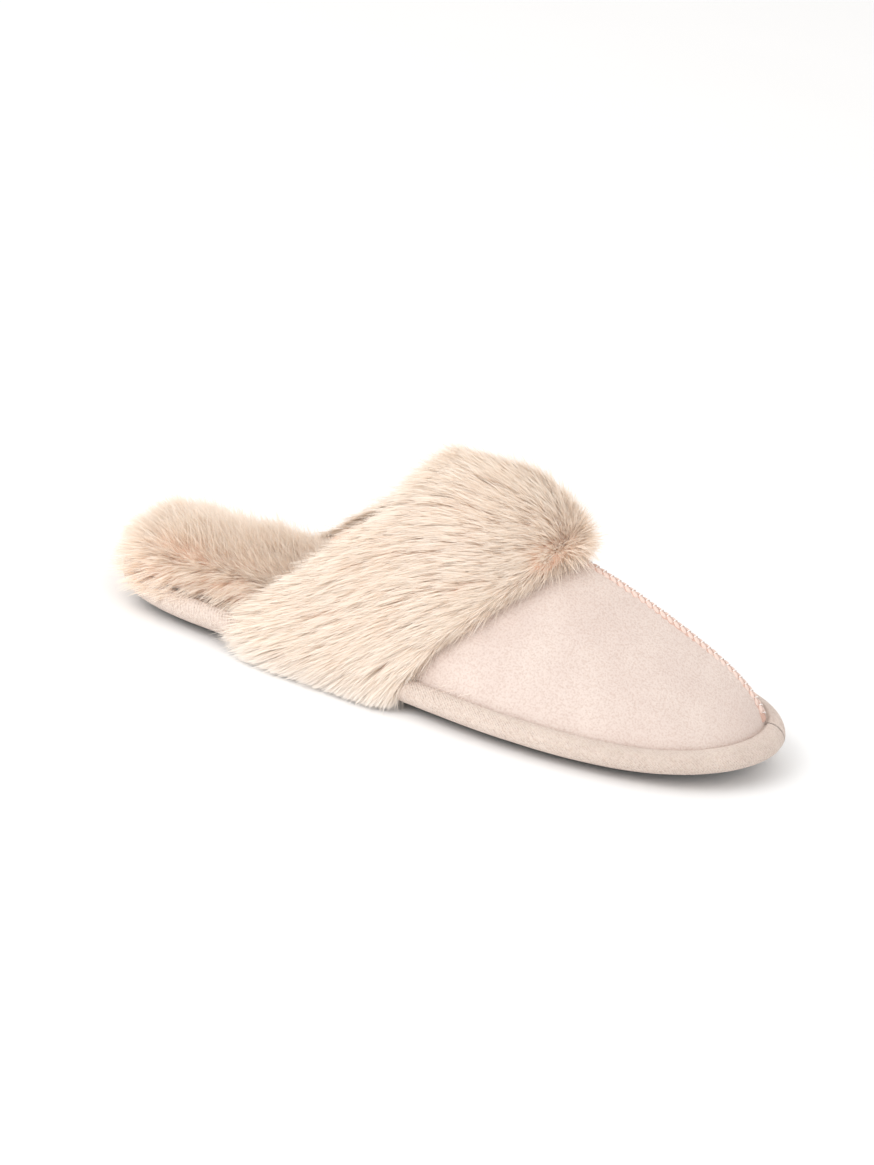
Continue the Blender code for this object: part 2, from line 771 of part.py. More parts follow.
def clear_scene():
    for shape in list(bpy.data.objects):
        bpy.data.objects.remove(shape, do_unlink=True)


def new_collection(name):
    made = bpy.data.collections.new(name)
    bpy.context.scene.collection.children.link(made)
    return made


def centre_on_footprint(shapes, tools):
    """Parents everything to an empty so that the origin is under the middle of the padded edge's footprint."""
    bpy.context.view_layer.update()
    graph = bpy.context.evaluated_depsgraph_get()
    corners = []
    for shape in shapes:
        done = shape.evaluated_get(graph)
        corners += [done.matrix_world @ Vector(corner) for corner in done.bound_box]
    root = bpy.data.objects.new("slipper_origin", None)
    shapes[0].users_collection[0].objects.link(root)
    middle = [(min(c[i] for c in corners) + max(c[i] for c in corners)) / 2 for i in (0, 1)]
    root.location = (-middle[0], -middle[1], 0.0)
    for shape in list(shapes) + list(tools.objects):
        shape.parent = root


def main():
    clear_scene()
    parts = new_collection("slipper")
    tools = new_collection("cutters")
    suede = surface("suede", SUEDE, 0.9)
    pile = surface("pile", PILE_COLOUR, 0.95)
    thread = surface("thread", THREAD, 0.7)
    rubber = surface("rubber", RUBBER, 0.6)
    pieces = [
        (make_outsole(parts, tools), rubber),
        (make_padded_edge("padded_edge", parts), suede),
        (make_vamp(parts), suede),
        (make_centre_seam(parts), thread),
        (make_cuff(parts, tools), pile),
        (make_footbed(parts, tools), pile),
    ]
    for shape, material in pieces:
        dress(shape, material)
    centre_on_footprint([shape for shape, _ in pieces], tools)


main()
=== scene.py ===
"""Looks of the backless pile slipper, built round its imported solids.

Shapes repeat the slipper's own sizes, in metres. x runs from the heel tip to the toe tip, and z is 0 at the
floor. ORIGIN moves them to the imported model's frame.
"""

import math

import bpy
import mathutils
import numpy as np
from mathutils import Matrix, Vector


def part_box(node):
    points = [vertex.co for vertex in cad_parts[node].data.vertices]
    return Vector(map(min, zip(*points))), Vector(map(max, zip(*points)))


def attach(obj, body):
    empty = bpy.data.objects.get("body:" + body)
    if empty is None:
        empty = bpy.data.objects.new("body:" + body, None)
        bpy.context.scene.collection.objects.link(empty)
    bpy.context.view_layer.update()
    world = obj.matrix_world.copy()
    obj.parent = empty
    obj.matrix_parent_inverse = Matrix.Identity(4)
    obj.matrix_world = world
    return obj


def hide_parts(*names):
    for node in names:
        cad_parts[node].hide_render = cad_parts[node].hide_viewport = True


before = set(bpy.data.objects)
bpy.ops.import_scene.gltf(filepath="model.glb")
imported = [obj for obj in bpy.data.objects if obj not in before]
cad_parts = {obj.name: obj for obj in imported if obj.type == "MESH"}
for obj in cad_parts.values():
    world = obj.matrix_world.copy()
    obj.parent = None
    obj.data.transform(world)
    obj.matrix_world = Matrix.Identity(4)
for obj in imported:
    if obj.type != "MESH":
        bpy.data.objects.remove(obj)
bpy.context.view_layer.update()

rng = np.random.default_rng(11)

# Sizes of the slipper
LENGTH = 0.262
BALL_WIDTH = 0.110
TOE_SPRING, TOE_SPRING_FROM = 0.006, 0.70
HEEL_LIFT, HEEL_LIFT_TO = 0.003, 0.15
CLEARANCE = 0.0003
OUTLINE = [
    (0.03, 0.223, 0.245),
    (0.11, 0.355, 0.345),
    (0.25, 0.388, 0.398),
    (0.42, 0.378, 0.462),
    (0.56, 0.428, 0.534),
    (0.70, 0.463, 0.550),
    (0.83, 0.438, 0.495),
    (0.92, 0.350, 0.376),
    (0.98, 0.195, 0.200),
]
SOLE_INSET, SOLE_THICKNESS = 0.0095, 0.004
BAND_WIDTH, WAIST_BAND_GAIN = 0.0112, 0.0030
WAIST_FROM, WAIST_TO = 0.10, 0.56
PANEL_RECESS = 0.0013
RIB_PITCH, RIB_WIDTH, RIB_END_GAP = 0.00575, 0.0040, 0.0010
RIB_SLANT = math.radians(3)
DISC_RADIUS, DISC_ALONG, DISC_LATERAL, DISC_GAP = 0.0123, 0.410, 0.0065, 0.0004
ROLL_RADIUS, ROLL_CENTRE_HEIGHT, DECK_HEIGHT = 0.0048, 0.0080, 0.0120
FEATHER_INSET, TOE_ROLL_GAIN, TOE_ROLL_FROM = 0.0060, 0.0040, 0.80
WALL = 0.0024
INSTEP_RISE, TOE_BLUNTNESS, TOE_BLUNT_RUN, CREST_BOW = 0.053, 0.15, 0.05, 1.05
THROAT_X, SIDE_EDGE_X, EDGE_SWEEP = 0.114, 0.067, 2.4
ARCH_WIDTH_POWER, ARCH_HEIGHT_POWER = 1.54, 1.50
SEAM_WIDTH, SEAM_STITCH_PITCH = 0.0052, 0.0032
CUFF_BAND, PILE, CUFF_SIDE_PILE, CUFF_DRAPE = 0.052, 0.0200, 0.0095, 0.0070
FOOTBED_HEEL_HEIGHT, FOOTBED_TOE_HEIGHT = 0.0140, 0.0035


def ease(value):
    value = np.clip(value, 0, 1)
    return value * value * (3 - 2 * value)


def unit(vectors):
    return vectors / np.maximum(np.linalg.norm(vectors, axis=-1, keepdims=True), 1e-12)


def smooth_loop(points, count):
    """Closed cubic curve through the points: count positions and their outward normals."""
    ring = np.array(points + points[:1], float)
    steps = np.sqrt(np.linalg.norm(np.diff(ring, axis=0), axis=1))
    n = len(steps)
    system, right = np.zeros((n, n)), np.zeros((n, 2))
    for i in range(n):
        before, after = steps[i - 1], steps[i]
        system[i, i - 1] += after
        system[i, i] += 2 * (before + after)
        system[i, (i + 1) % n] += before
        slope_in = (ring[i] - ring[(i - 1) % n]) / before
        slope_out = (ring[(i + 1) % n] - ring[i]) / after
        right[i] = 3 * (after * slope_in + before * slope_out)
    slopes = np.linalg.solve(system, right)
    at = np.linspace(0, steps.sum(), count, endpoint=False)
    knots = np.concatenate([[0], np.cumsum(steps)])
    i = np.clip(np.searchsorted(knots, at, side="right") - 1, 0, n - 1)
    h = steps[i][:, None]
    t = ((at - knots[i]) / steps[i])[:, None]
    start, end = ring[i], ring[i + 1]
    s0, s1 = slopes[i] * h, slopes[(i + 1) % n] * h
    place = (2 * t**3 - 3 * t**2 + 1) * start + (t**3 - 2 * t**2 + t) * s0
    place = place + (3 * t**2 - 2 * t**3) * end + (t**3 - t**2) * s1
    along = (6 * t**2 - 6 * t) * start + (3 * t**2 - 4 * t + 1) * s0
    along = along + (6 * t - 6 * t**2) * end + (3 * t**2 - 2 * t) * s1
    return place, unit(np.stack([along[:, 1], -along[:, 0]], axis=1))


lateral_rows = [(a * LENGTH, -lateral * BALL_WIDTH) for a, _, lateral in OUTLINE]
medial_rows = [(a * LENGTH, medial * BALL_WIDTH) for a, medial, _ in reversed(OUTLINE)]
EDGE, EDGE_NORMAL = smooth_loop([(0.0, 0.0)] + lateral_rows + [(LENGTH, 0.0)] + medial_rows, 1440)


def lift(x):
    toe = np.clip((x / LENGTH - TOE_SPRING_FROM) / (1 - TOE_SPRING_FROM), 0, 1) ** 2
    heel = np.clip((HEEL_LIFT_TO - x / LENGTH) / HEEL_LIFT_TO, 0, 1) ** 2
    return TOE_SPRING * toe + HEEL_LIFT * heel


def drawn_in(inset, toe_gain=0.0):
    """The outline drawn in by inset, and by toe_gain more at the toe."""
    gain = toe_gain * np.clip((EDGE[:, 0] / LENGTH - TOE_ROLL_FROM) / (1 - TOE_ROLL_FROM), 0, 1) ** 2
    return EDGE - EDGE_NORMAL * (inset + gain)[:, None]


def split_sides(line):
    heel, toe = int(line[:, 0].argmin()), int(line[:, 0].argmax())
    around = np.roll(line, -heel, axis=0)
    toe = (toe - heel) % len(line)
    return around[: toe + 1], np.concatenate([around[:1], around[toe:][::-1]])


FEATHER = split_sides(drawn_in(np.full(len(EDGE), FEATHER_INSET + CLEARANCE), TOE_ROLL_GAIN))
TOE_X = float(FEATHER[0][-1, 0])


def feather_half(x, side):
    lateral = np.abs(np.interp(x, FEATHER[0][:, 0], FEATHER[0][:, 1]))
    medial = np.abs(np.interp(x, FEATHER[1][:, 0], FEATHER[1][:, 1]))
    return np.where(side > 0, medial, lateral)


def crest_rise(x):
    t = np.clip((TOE_X - x) / (TOE_X - THROAT_X), 0, None)
    ramp = t * (1 + CREST_BOW) - CREST_BOW * t * t
    return INSTEP_RISE * ((1 - TOE_BLUNTNESS) * ramp + TOE_BLUNTNESS * (1 - np.exp(-t / TOE_BLUNT_RUN)))


def arch(x, v, wider=0.0, higher=0.0, lower=0.0):
    """Points over the foot: v is -1 at the lateral feather line, 0 on the crest and 1 at the medial line."""
    x, v = np.broadcast_arrays(np.asarray(x, float), np.asarray(v, float))
    side = np.where(v > 0, 1.0, -1.0)
    turn = np.abs(v) * math.pi / 2
    half = np.maximum(feather_half(x, side) + wider, 0)
    rise = np.maximum(crest_rise(x) + higher, 0)
    y = side * half * np.sin(turn) ** ARCH_WIDTH_POWER
    z = DECK_HEIGHT + CLEARANCE + lift(x) - lower + rise * np.maximum(np.cos(turn), 0) ** ARCH_HEIGHT_POWER
    return np.stack([x, y, z], axis=-1)


def opening_x(v):
    return THROAT_X - (THROAT_X - SIDE_EDGE_X) * np.sin(np.abs(v) * math.pi / 2) ** EDGE_SWEEP


def vamp_height(x, y):
    """z of the vamp's outer face over (x, y), or far below where there is none."""
    side = np.where(y > 0, 1.0, -1.0)
    half = np.maximum(feather_half(x, side), 1e-5)
    t = np.abs(y) / half
    share = np.clip(1 - np.minimum(t, 1) ** (2 / ARCH_WIDTH_POWER), 0, 1) ** (ARCH_HEIGHT_POWER / 2)
    z = DECK_HEIGHT + lift(x) + crest_rise(x) * share
    return np.where((t < 1) & (x < TOE_X), z, -1.0)


HASH_FACTORS, HASH_SEED, HASH_STIR = np.array([374761393, 668265263, 2147483647]), 974634777, 1274126177


def value_noise(points, size, seed):
    """Smooth noise from -1 to 1 over 3D points, with lumps of about the given size."""
    cell = points / size
    low = np.floor(cell).astype(np.int64)
    frac = cell - low
    frac = frac * frac * (3 - 2 * frac)
    total = np.zeros(len(points))
    for corner in range(8):
        shift = np.array([corner & 1, corner >> 1 & 1, corner >> 2 & 1])
        index = low + shift
        mixed = (index * HASH_FACTORS).sum(axis=1) + seed * HASH_SEED
        mixed = (mixed ^ (mixed >> 13)) * HASH_STIR
        value = ((mixed ^ (mixed >> 16)) & 0xFFFF) / 32767.5 - 1
        weight = np.prod(np.where(shift, frac, 1 - frac), axis=1)
        total += value * weight
    return total


seam_low, seam_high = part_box("centre_seam")
vamp_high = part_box("vamp")[1]
ORIGIN = np.array([vamp_high[0] - (TOE_X - CLEARANCE), (seam_low[1] + seam_high[1]) / 2, 0.0])


def mesh_object(name, vertices, faces, material, smooth=True, values=None):
    """A mesh from arrays of faces, one array for each number of corners. values are vertex numbers by name."""
    vertices = np.asarray(vertices, float) + ORIGIN
    mesh = bpy.data.meshes.new(name)
    counts = np.concatenate([np.full(len(f), f.shape[1]) for f in faces])
    loops = np.concatenate([f.reshape(-1) for f in faces])
    mesh.vertices.add(len(vertices))
    mesh.vertices.foreach_set("co", vertices.astype(np.float32).reshape(-1))
    mesh.loops.add(len(loops))
    mesh.loops.foreach_set("vertex_index", loops.astype(np.int32))
    mesh.polygons.add(len(counts))
    mesh.polygons.foreach_set("loop_start", np.concatenate([[0], np.cumsum(counts)[:-1]]).astype(np.int32))
    mesh.polygons.foreach_set("loop_total", counts.astype(np.int32))
    if smooth:
        mesh.polygons.foreach_set("use_smooth", np.ones(len(counts), bool))
    for key, numbers in (values or {}).items():
        attribute = mesh.attributes.new(key, "FLOAT", "POINT")
        attribute.data.foreach_set("value", np.asarray(numbers, np.float32))
    mesh.update(calc_edges=True)
    mesh.validate()
    mesh.materials.append(material)
    shape = bpy.data.objects.new(name, mesh)
    bpy.context.scene.collection.objects.link(shape)
    return shape


def grid_faces(rows, columns, closed=False, base=0):
    """Quads over a grid of rows by columns of vertices, closed round the columns if asked."""
    across = columns if closed else columns - 1
    i, j = np.meshgrid(np.arange(rows - 1), np.arange(across), indexing="ij")
    k = (j + 1) % columns
    quads = np.stack([i * columns + j, i * columns + k, (i + 1) * columns + k, (i + 1) * columns + j], axis=-1)
    return quads.reshape(-1, 4) + base


def ladder(first, count):
    """Faces across a footprint ring whose first vertex is the heel tip."""
    half = count // 2
    i = np.arange(1, half - 1)
    quads = np.stack([first + i, first + i + 1, first + count - i - 1, first + count - i], axis=-1)
    toe = first + half
    ends = np.array([[first, first + 1, first + count - 1], [toe - 1, toe, toe + 1]])
    return quads, ends


def footprint_rings(rows, stations):
    """rows of (inset(x), height(x), toe gain): rings of points round the foot, heel tip first."""
    turn = np.linspace(0, math.pi, stations + 1)
    rings = []
    for inset, height, gain in rows:
        lateral, medial = split_sides(drawn_in(inset(EDGE[:, 0]), gain))
        start, end = lateral[0, 0], lateral[-1, 0]
        xs = start + (end - start) * (1 - np.cos(turn)) / 2
        low = np.interp(xs, lateral[:, 0], lateral[:, 1])
        high = np.interp(xs, medial[:, 0], medial[:, 1])
        z = height(xs) + lift(xs)
        near = np.stack([xs, low, z], axis=1)
        far = np.stack([xs, high, z], axis=1)
        rings.append(np.concatenate([near, far[-2:0:-1]]))
    return np.array(rings)


def constant(value):
    return lambda x: np.full(np.shape(x), value)


def footprint_body(rings):
    """Vertices and faces of a closed body through footprint rings."""
    levels, count = rings.shape[:2]
    bottom_quads, bottom_ends = ladder(0, count)
    top_quads, top_ends = ladder((levels - 1) * count, count)
    quads = np.concatenate([grid_faces(levels, count, True)[:, ::-1], bottom_quads, top_quads[:, ::-1]])
    return rings.reshape(-1, 3), [quads, np.concatenate([bottom_ends, top_ends[:, ::-1]])]


# Materials

WHITE = (1.0, 1.0, 1.0)


def new_material(name):
    made = bpy.data.materials.new(name)
    made.use_nodes = True
    tree = made.node_tree
    return made, tree, tree.nodes["Principled BSDF"]


def link(tree, source, target):
    tree.links.new(source, target)


def noise(tree, scale, detail=4.0, roughness=0.55, stretch=None, turn=0.0):
    place = tree.nodes.new("ShaderNodeTexCoord")
    mapping = tree.nodes.new("ShaderNodeMapping")
    mapping.inputs["Scale"].default_value = stretch or (1, 1, 1)
    mapping.inputs["Rotation"].default_value = (0, turn, 0)
    made = tree.nodes.new("ShaderNodeTexNoise")
    made.inputs["Scale"].default_value = scale
    made.inputs["Detail"].default_value = detail
    made.inputs["Roughness"].default_value = roughness
    link(tree, place.outputs["Object"], mapping.inputs["Vector"])
    link(tree, mapping.outputs["Vector"], made.inputs["Vector"])
    return made.outputs["Fac"]


def ramp(tree, source, stops):
    made = tree.nodes.new("ShaderNodeValToRGB")
    elements = made.color_ramp.elements
    while len(elements) < len(stops):
        elements.new(0.5)
    for element, (at, colour) in zip(elements, stops):
        element.position = at
        element.color = (*colour, 1.0)
    link(tree, source, made.inputs["Fac"])
    return made.outputs["Color"]


def mix_colour(tree, factor, first, second, blend="MIX"):
    made = tree.nodes.new("ShaderNodeMix")
    made.data_type = "RGBA"
    made.blend_type = blend
    for value, key in ((factor, "Factor"), (first, "A"), (second, "B")):
        socket = made.inputs[key]
        if isinstance(value, bpy.types.NodeSocket):
            link(tree, value, socket)
        elif isinstance(value, tuple):
            socket.default_value = (*value, 1.0)
        else:
            socket.default_value = value
    return made.outputs["Result"]


def maths(tree, operation, first, second=0.0, third=0.0):
    made = tree.nodes.new("ShaderNodeMath")
    made.operation = operation
    for value, socket in zip((first, second, third), made.inputs):
        if isinstance(value, bpy.types.NodeSocket):
            link(tree, value, socket)
        else:
            socket.default_value = value
    return made.outputs["Value"]


def bump(tree, heights, shader):
    """heights are (socket, distance in metres), coarse first."""
    previous = None
    for source, distance in heights:
        made = tree.nodes.new("ShaderNodeBump")
        made.inputs["Strength"].default_value = 1.0
        made.inputs["Distance"].default_value = distance
        link(tree, source, made.inputs["Height"])
        if previous:
            link(tree, previous, made.inputs["Normal"])
        previous = made.outputs["Normal"]
    link(tree, previous, shader.inputs["Normal"])


def suede_material(name, light, dark, deep, ribbing):
    """Napped suede with a fine grain. ribbing is the height of slanting ribs, counted by slant."""
    made, tree, shader = new_material(name)
    broad = noise(tree, 45, 3, 0.5)
    grain = noise(tree, 1350, 2, 0.5)
    fine = noise(tree, 3200, 3, 0.7)
    tone = ramp(tree, broad, [(0.35, dark), (0.65, light)])
    specks = ramp(tree, grain, [(0.34, deep), (0.56, WHITE)])
    colour = mix_colour(tree, 0.55, tone, specks, "MULTIPLY")
    heights = [(grain, 0.00032), (fine, 0.00014)]
    if ribbing:
        slant = tree.nodes.new("ShaderNodeAttribute")
        slant.attribute_name = "slant"
        wander = maths(tree, "MULTIPLY_ADD", grain, 2.6, slant.outputs["Fac"])
        ribs = maths(tree, "SINE", wander)
        colour = mix_colour(tree, maths(tree, "MULTIPLY_ADD", ribs, 0.07, 0.07), colour, deep, "MULTIPLY")
        heights.insert(0, (ribs, ribbing / 2))
    link(tree, colour, shader.inputs["Base Color"])
    shader.inputs["Roughness"].default_value = 0.92
    shader.inputs["Specular IOR Level"].default_value = 0.2
    shader.inputs["Sheen Weight"].default_value = 0.25
    shader.inputs["Sheen Roughness"].default_value = 0.45
    shader.inputs["Sheen Tint"].default_value = (1.0, 0.95, 0.93, 1.0)
    bump(tree, heights, shader)
    return made


def pile_material(name, root, body, tip, grey, through):
    """Long pile: along runs from 0 at the root to 1 at the tip, tone from 0 to 1 between hairs, raised low on
    the cuff as painted shade.
    """
    made, tree, shader = new_material(name)
    along = tree.nodes.new("ShaderNodeAttribute")
    along.attribute_name = "along"
    tone = tree.nodes.new("ShaderNodeAttribute")
    tone.attribute_name = "tone"
    graded = ramp(tree, along.outputs["Fac"], [(0.0, root), (0.45, body), (0.95, tip)])
    # Mixed towards grey by tone: a random grey for each hair, plus painted shade low on the cuff.
    colour = mix_colour(tree, tone.outputs["Fac"], graded, grey)
    link(tree, colour, shader.inputs["Base Color"])
    shader.inputs["Roughness"].default_value = 0.75
    shader.inputs["Specular IOR Level"].default_value = 0.2
    shader.inputs["Sheen Weight"].default_value = 0.3
    shader.inputs["Sheen Roughness"].default_value = 0.5
    glow = tree.nodes.new("ShaderNodeBsdfTranslucent")
    link(tree, colour, glow.inputs["Color"])
    blend = tree.nodes.new("ShaderNodeMixShader")
    blend.inputs["Fac"].default_value = through
    link(tree, shader.outputs["BSDF"], blend.inputs[1])
    link(tree, glow.outputs["BSDF"], blend.inputs[2])
    link(tree, blend.outputs["Shader"], tree.nodes["Material Output"].inputs["Surface"])
    return made


def undercoat_material(name, deep, body):
    made, tree, shader = new_material(name)
    lumps = noise(tree, 160, 4, 0.6)
    strands = noise(tree, 900, 3, 0.6, (0.35, 0.35, 1.0))
    tone = ramp(tree, lumps, [(0.35, deep), (0.62, body)])
    shade = ramp(tree, strands, [(0.3, deep), (0.7, WHITE)])
    colour = mix_colour(tree, 0.35, tone, shade, "MULTIPLY")
    link(tree, colour, shader.inputs["Base Color"])
    shader.inputs["Roughness"].default_value = 0.95
    shader.inputs["Sheen Weight"].default_value = 0.3
    bump(tree, [(lumps, 0.0012), (strands, 0.0006)], shader)
    return made


def rubber_material(name, rough):
    made, tree, shader = new_material(name)
    grain = noise(tree, 2400 if rough else 3200, 4, 0.65)
    cloud = noise(tree, 90, 3, 0.5)
    dust = noise(tree, 5200, 2, 0.5)
    tone = ramp(tree, cloud, [(0.3, (0.014, 0.012, 0.011)), (0.7, (0.024, 0.021, 0.019))])
    specks = ramp(tree, dust, [(0.66, (0.0, 0.0, 0.0)), (0.78, (0.10, 0.085, 0.07))])
    link(tree, mix_colour(tree, 1.0, tone, specks, "ADD"), shader.inputs["Base Color"])
    shader.inputs["Roughness"].default_value = 0.62 if rough else 0.48
    shader.inputs["Specular IOR Level"].default_value = 0.45
    bump(tree, [(grain, 0.0005 if rough else 0.00008)], shader)
    return made


def plain_material(name, colour, roughness, grain=1500, depth=0.0001):
    made, tree, shader = new_material(name)
    variation = noise(tree, grain, 3, 0.6)
    darker = tuple(c * 0.82 for c in colour)
    link(tree, ramp(tree, variation, [(0.3, darker), (0.7, colour)]), shader.inputs["Base Color"])
    shader.inputs["Roughness"].default_value = roughness
    bump(tree, [(variation, depth)], shader)
    return made


suede = suede_material("suede", (0.745, 0.635, 0.575), (0.70, 0.585, 0.53), (0.78, 0.70, 0.66), 0.0)
EDGE_RIB_HEIGHT = 0.00022
EDGE_LIGHT, EDGE_DARK, EDGE_DEEP = (0.78, 0.665, 0.59), (0.73, 0.615, 0.545), (0.78, 0.70, 0.65)
edge_suede = suede_material("edge_suede", EDGE_LIGHT, EDGE_DARK, EDGE_DEEP, EDGE_RIB_HEIGHT)
PILE_ROOT, PILE_BODY, PILE_TIP = (0.98, 0.70, 0.53), (1.0, 0.865, 0.74), (1.0, 0.92, 0.83)
pile = pile_material("pile", PILE_ROOT, PILE_BODY, PILE_TIP, (0.96, 0.93, 0.91), 0.2)
undercoat = undercoat_material("undercoat", (0.93, 0.66, 0.52), (0.97, 0.82, 0.71))
thread = plain_material("seam_thread", (0.84, 0.655, 0.575), 0.7, 2200, 0.00018)
# Near-white, glossier thread for the seam's crossings: a painted highlight between the puffs.
thread_painted_highlight = plain_material("thread_painted_highlight", (0.97, 0.93, 0.90), 0.4, 2500, 0.00005)
# Dark pink for the seam's welt: painted shadow, showing as dark lines along both sides of the seam.
seam_shadow = plain_material("seam_painted_shadow", (0.66, 0.43, 0.35), 0.9)
dark_thread = plain_material("dark_thread", (0.035, 0.022, 0.016), 0.6)
ribbed_rubber = rubber_material("ribbed_rubber", True)
smooth_rubber = rubber_material("smooth_rubber", False)


# Vamp


FEATHER_TUCK = 0.0009


def make_vamp():
    columns, along = ((150, 100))
    v = np.linspace(-1, 1, columns + 1)[:, None]
    front = TOE_X
    share = 1 - (1 - np.linspace(0, 1, along + 1)[None, :-1]) ** 1.7
    layers = []
    for depth in (0.0, -WALL):
        back = opening_x(v)
        x = back + (front + depth - back) * share
        points = arch(x, np.broadcast_to(v, x.shape), depth, depth)
        if depth == 0.0:
            across = np.abs(points[..., 1])
            beside = np.clip(across - SEAM_WIDTH / 2, 0, None)
            pucker = np.cos(2 * math.pi * x / SEAM_STITCH_PITCH) * np.exp(-beside / 0.0022)
            broad = value_noise(points.reshape(-1, 3), 0.030, 3).reshape(x.shape)
            middle = value_noise(points.reshape(-1, 3), 0.011, 4).reshape(x.shape)
            low = points[..., 2] - DECK_HEIGHT - lift(x)
            edge_angle = np.arctan2(points[..., 1], x - 0.19)
            tuck = np.cos(edge_angle * 42 + 2.0 * np.sin(edge_angle * 5)) * np.exp(-low / 0.005)
            swell = 0.00018 * pucker + 0.00042 * broad + 0.00018 * middle + 0.00012 * tuck
            swell = swell - 0.0005 * np.exp(-beside / 0.0030)
            shrink = np.minimum(1, (front - x) / 0.008)
            du = np.gradient(points, axis=0)
            ds = np.gradient(points, axis=1)
            points = points + unit(np.cross(ds, du)) * (-swell * shrink)[..., None]
            points[..., 2] -= FEATHER_TUCK * np.exp(-low / 0.0018)
        tip = arch(front + depth, 0.0, depth, depth)
        layers.append(np.concatenate([points.reshape(-1, 3), tip.reshape(1, 3)]))
    rows = columns + 1
    block = rows * along + 1
    quads, tris = [], []
    for layer in (0, 1):
        base = layer * block
        patch = grid_faces(rows, along, False, base)
        last = base + np.arange(rows) * along + along - 1
        fan = np.stack([last[:-1], np.full(rows - 1, base + block - 1), last[1:]], 1)
        quads.append(patch if layer else patch[:, ::-1])
        tris.append(fan if layer else fan[:, ::-1])
    j = np.arange(rows - 1)
    quads.append(np.stack([j * along, (j + 1) * along, block + (j + 1) * along, block + j * along], 1))
    i = np.arange(along - 1)
    for j, flip in ((0, False), (rows - 1, True)):
        start = j * along + i
        strip = np.stack([start, start + 1, block + start + 1, block + start], 1)
        quads.append(strip[:, ::-1] if flip else strip)
        last = j * along + along - 1
        quads.append(np.array([[last, block - 1, 2 * block - 1, block + last]])[:, :: -1 if flip else 1])
    faces = [np.concatenate(quads), np.concatenate(tris)]
    vamp = mesh_object("vamp_suede", np.concatenate(layers), faces, suede)
    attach(vamp, "root")
    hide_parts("vamp")


# Padded edge, covered in suede and stitched underneath


EDGE_RIB_PITCH, EDGE_RIB_LEAN = 0.0011, 0.6


def rib_slant(rings):
    """Phase of the covering's slanting ribs, round the shoe and up the roll, mirrored between its sides."""
    steps = np.linalg.norm(np.diff(rings, axis=1, prepend=rings[:, -1:]), axis=2)
    around = np.cumsum(steps[0])[None] * np.ones((len(rings), 1))
    up = np.cumsum(np.linalg.norm(np.diff(rings, axis=0, prepend=rings[:1]), axis=2), axis=0)
    side = np.where(np.arange(rings.shape[1]) < rings.shape[1] // 2, 1.0, -1.0)
    return (2 * math.pi / EDGE_RIB_PITCH * (around + EDGE_RIB_LEAN * side * up)).reshape(-1)


def make_padded_edge():
    stations = 260
    rows = [(constant(SOLE_INSET - 0.0008), constant(SOLE_THICKNESS + CLEARANCE), 0.0)]
    rows.append((constant(SOLE_INSET - 0.0035), constant(SOLE_THICKNESS + 0.0001), 0.0))
    for angle in range(-96, 97, 8):
        turn = math.radians(angle)
        gain = TOE_ROLL_GAIN * float(ease((angle + 90) / 180))
        out = ROLL_RADIUS - ROLL_RADIUS * math.cos(turn)
        height = ROLL_CENTRE_HEIGHT + ROLL_RADIUS * math.sin(turn) * (0.86 if angle < 0 else 1.0)
        rows.append((constant(out), constant(height), gain))
    rows.append((constant(FEATHER_INSET - 0.0004), constant(DECK_HEIGHT), TOE_ROLL_GAIN))
    rows.append((constant(FEATHER_INSET + 0.0060), constant(DECK_HEIGHT - 0.0002), TOE_ROLL_GAIN))
    rings = footprint_rings(rows, stations)
    flat = rings.reshape(-1, 3)
    wobble = value_noise(flat, 0.018, 8) * 0.00022 + value_noise(flat, 0.006, 9) * 0.00010
    centre = np.array([0.13, 0.0])
    outward = unit(flat[:, :2] - centre)
    level = np.repeat(np.arange(len(rows)), rings.shape[1])
    on_roll = (level > 3) & (level < len(rows) - 4)
    flat[:, :2] += outward * (wobble * on_roll)[:, None]
    vertices, faces = footprint_body(flat.reshape(rings.shape))
    edge = mesh_object("edge_roll", vertices, faces, edge_suede, True, {"slant": rib_slant(rings)})
    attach(edge, "root")
    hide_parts("padded_edge")


def tube(path, radius, sides=6):
    """Vertices and quads of a tube along a path of points, with one radius or a radius for each point."""
    path = np.asarray(path, float)
    ahead = unit(np.gradient(path, axis=0))
    steep = abs(ahead[len(path) // 2][2]) >= 0.8
    side = unit(np.cross(ahead, [0.0, 1.0, 0.0] if steep else [0.0, 0.0, 1.0]))
    up = np.cross(side, ahead)
    turn = np.linspace(0, 2 * math.pi, sides, endpoint=False)
    radii = np.broadcast_to(radius, len(path))[:, None, None]
    ring = side[:, None] * np.cos(turn)[None, :, None] + up[:, None] * np.sin(turn)[None, :, None]
    return (path[:, None] + ring * radii).reshape(-1, 3), grid_faces(len(path), sides, True)


def joined_tubes(name, paths, radius, material, sides=6):
    """Closed tubes along paths with one number of points, as one mesh."""
    vertices, quads, caps = [], [], []
    base = 0
    for path in paths:
        points, faces = tube(path, radius, sides)
        vertices.append(points)
        quads.append(faces + base)
        first = np.arange(sides)
        caps.append(np.stack([base + first[::-1], base + len(points) - sides + first]))
        base += len(points)
    faces = [np.concatenate(quads), np.concatenate(caps)]
    return mesh_object(name, np.concatenate(vertices), faces, material)


UNDER_STITCH_PITCH, UNDER_STITCH_LENGTH, UNDER_STITCH_INSET = 0.0043, 0.0027, 0.0073


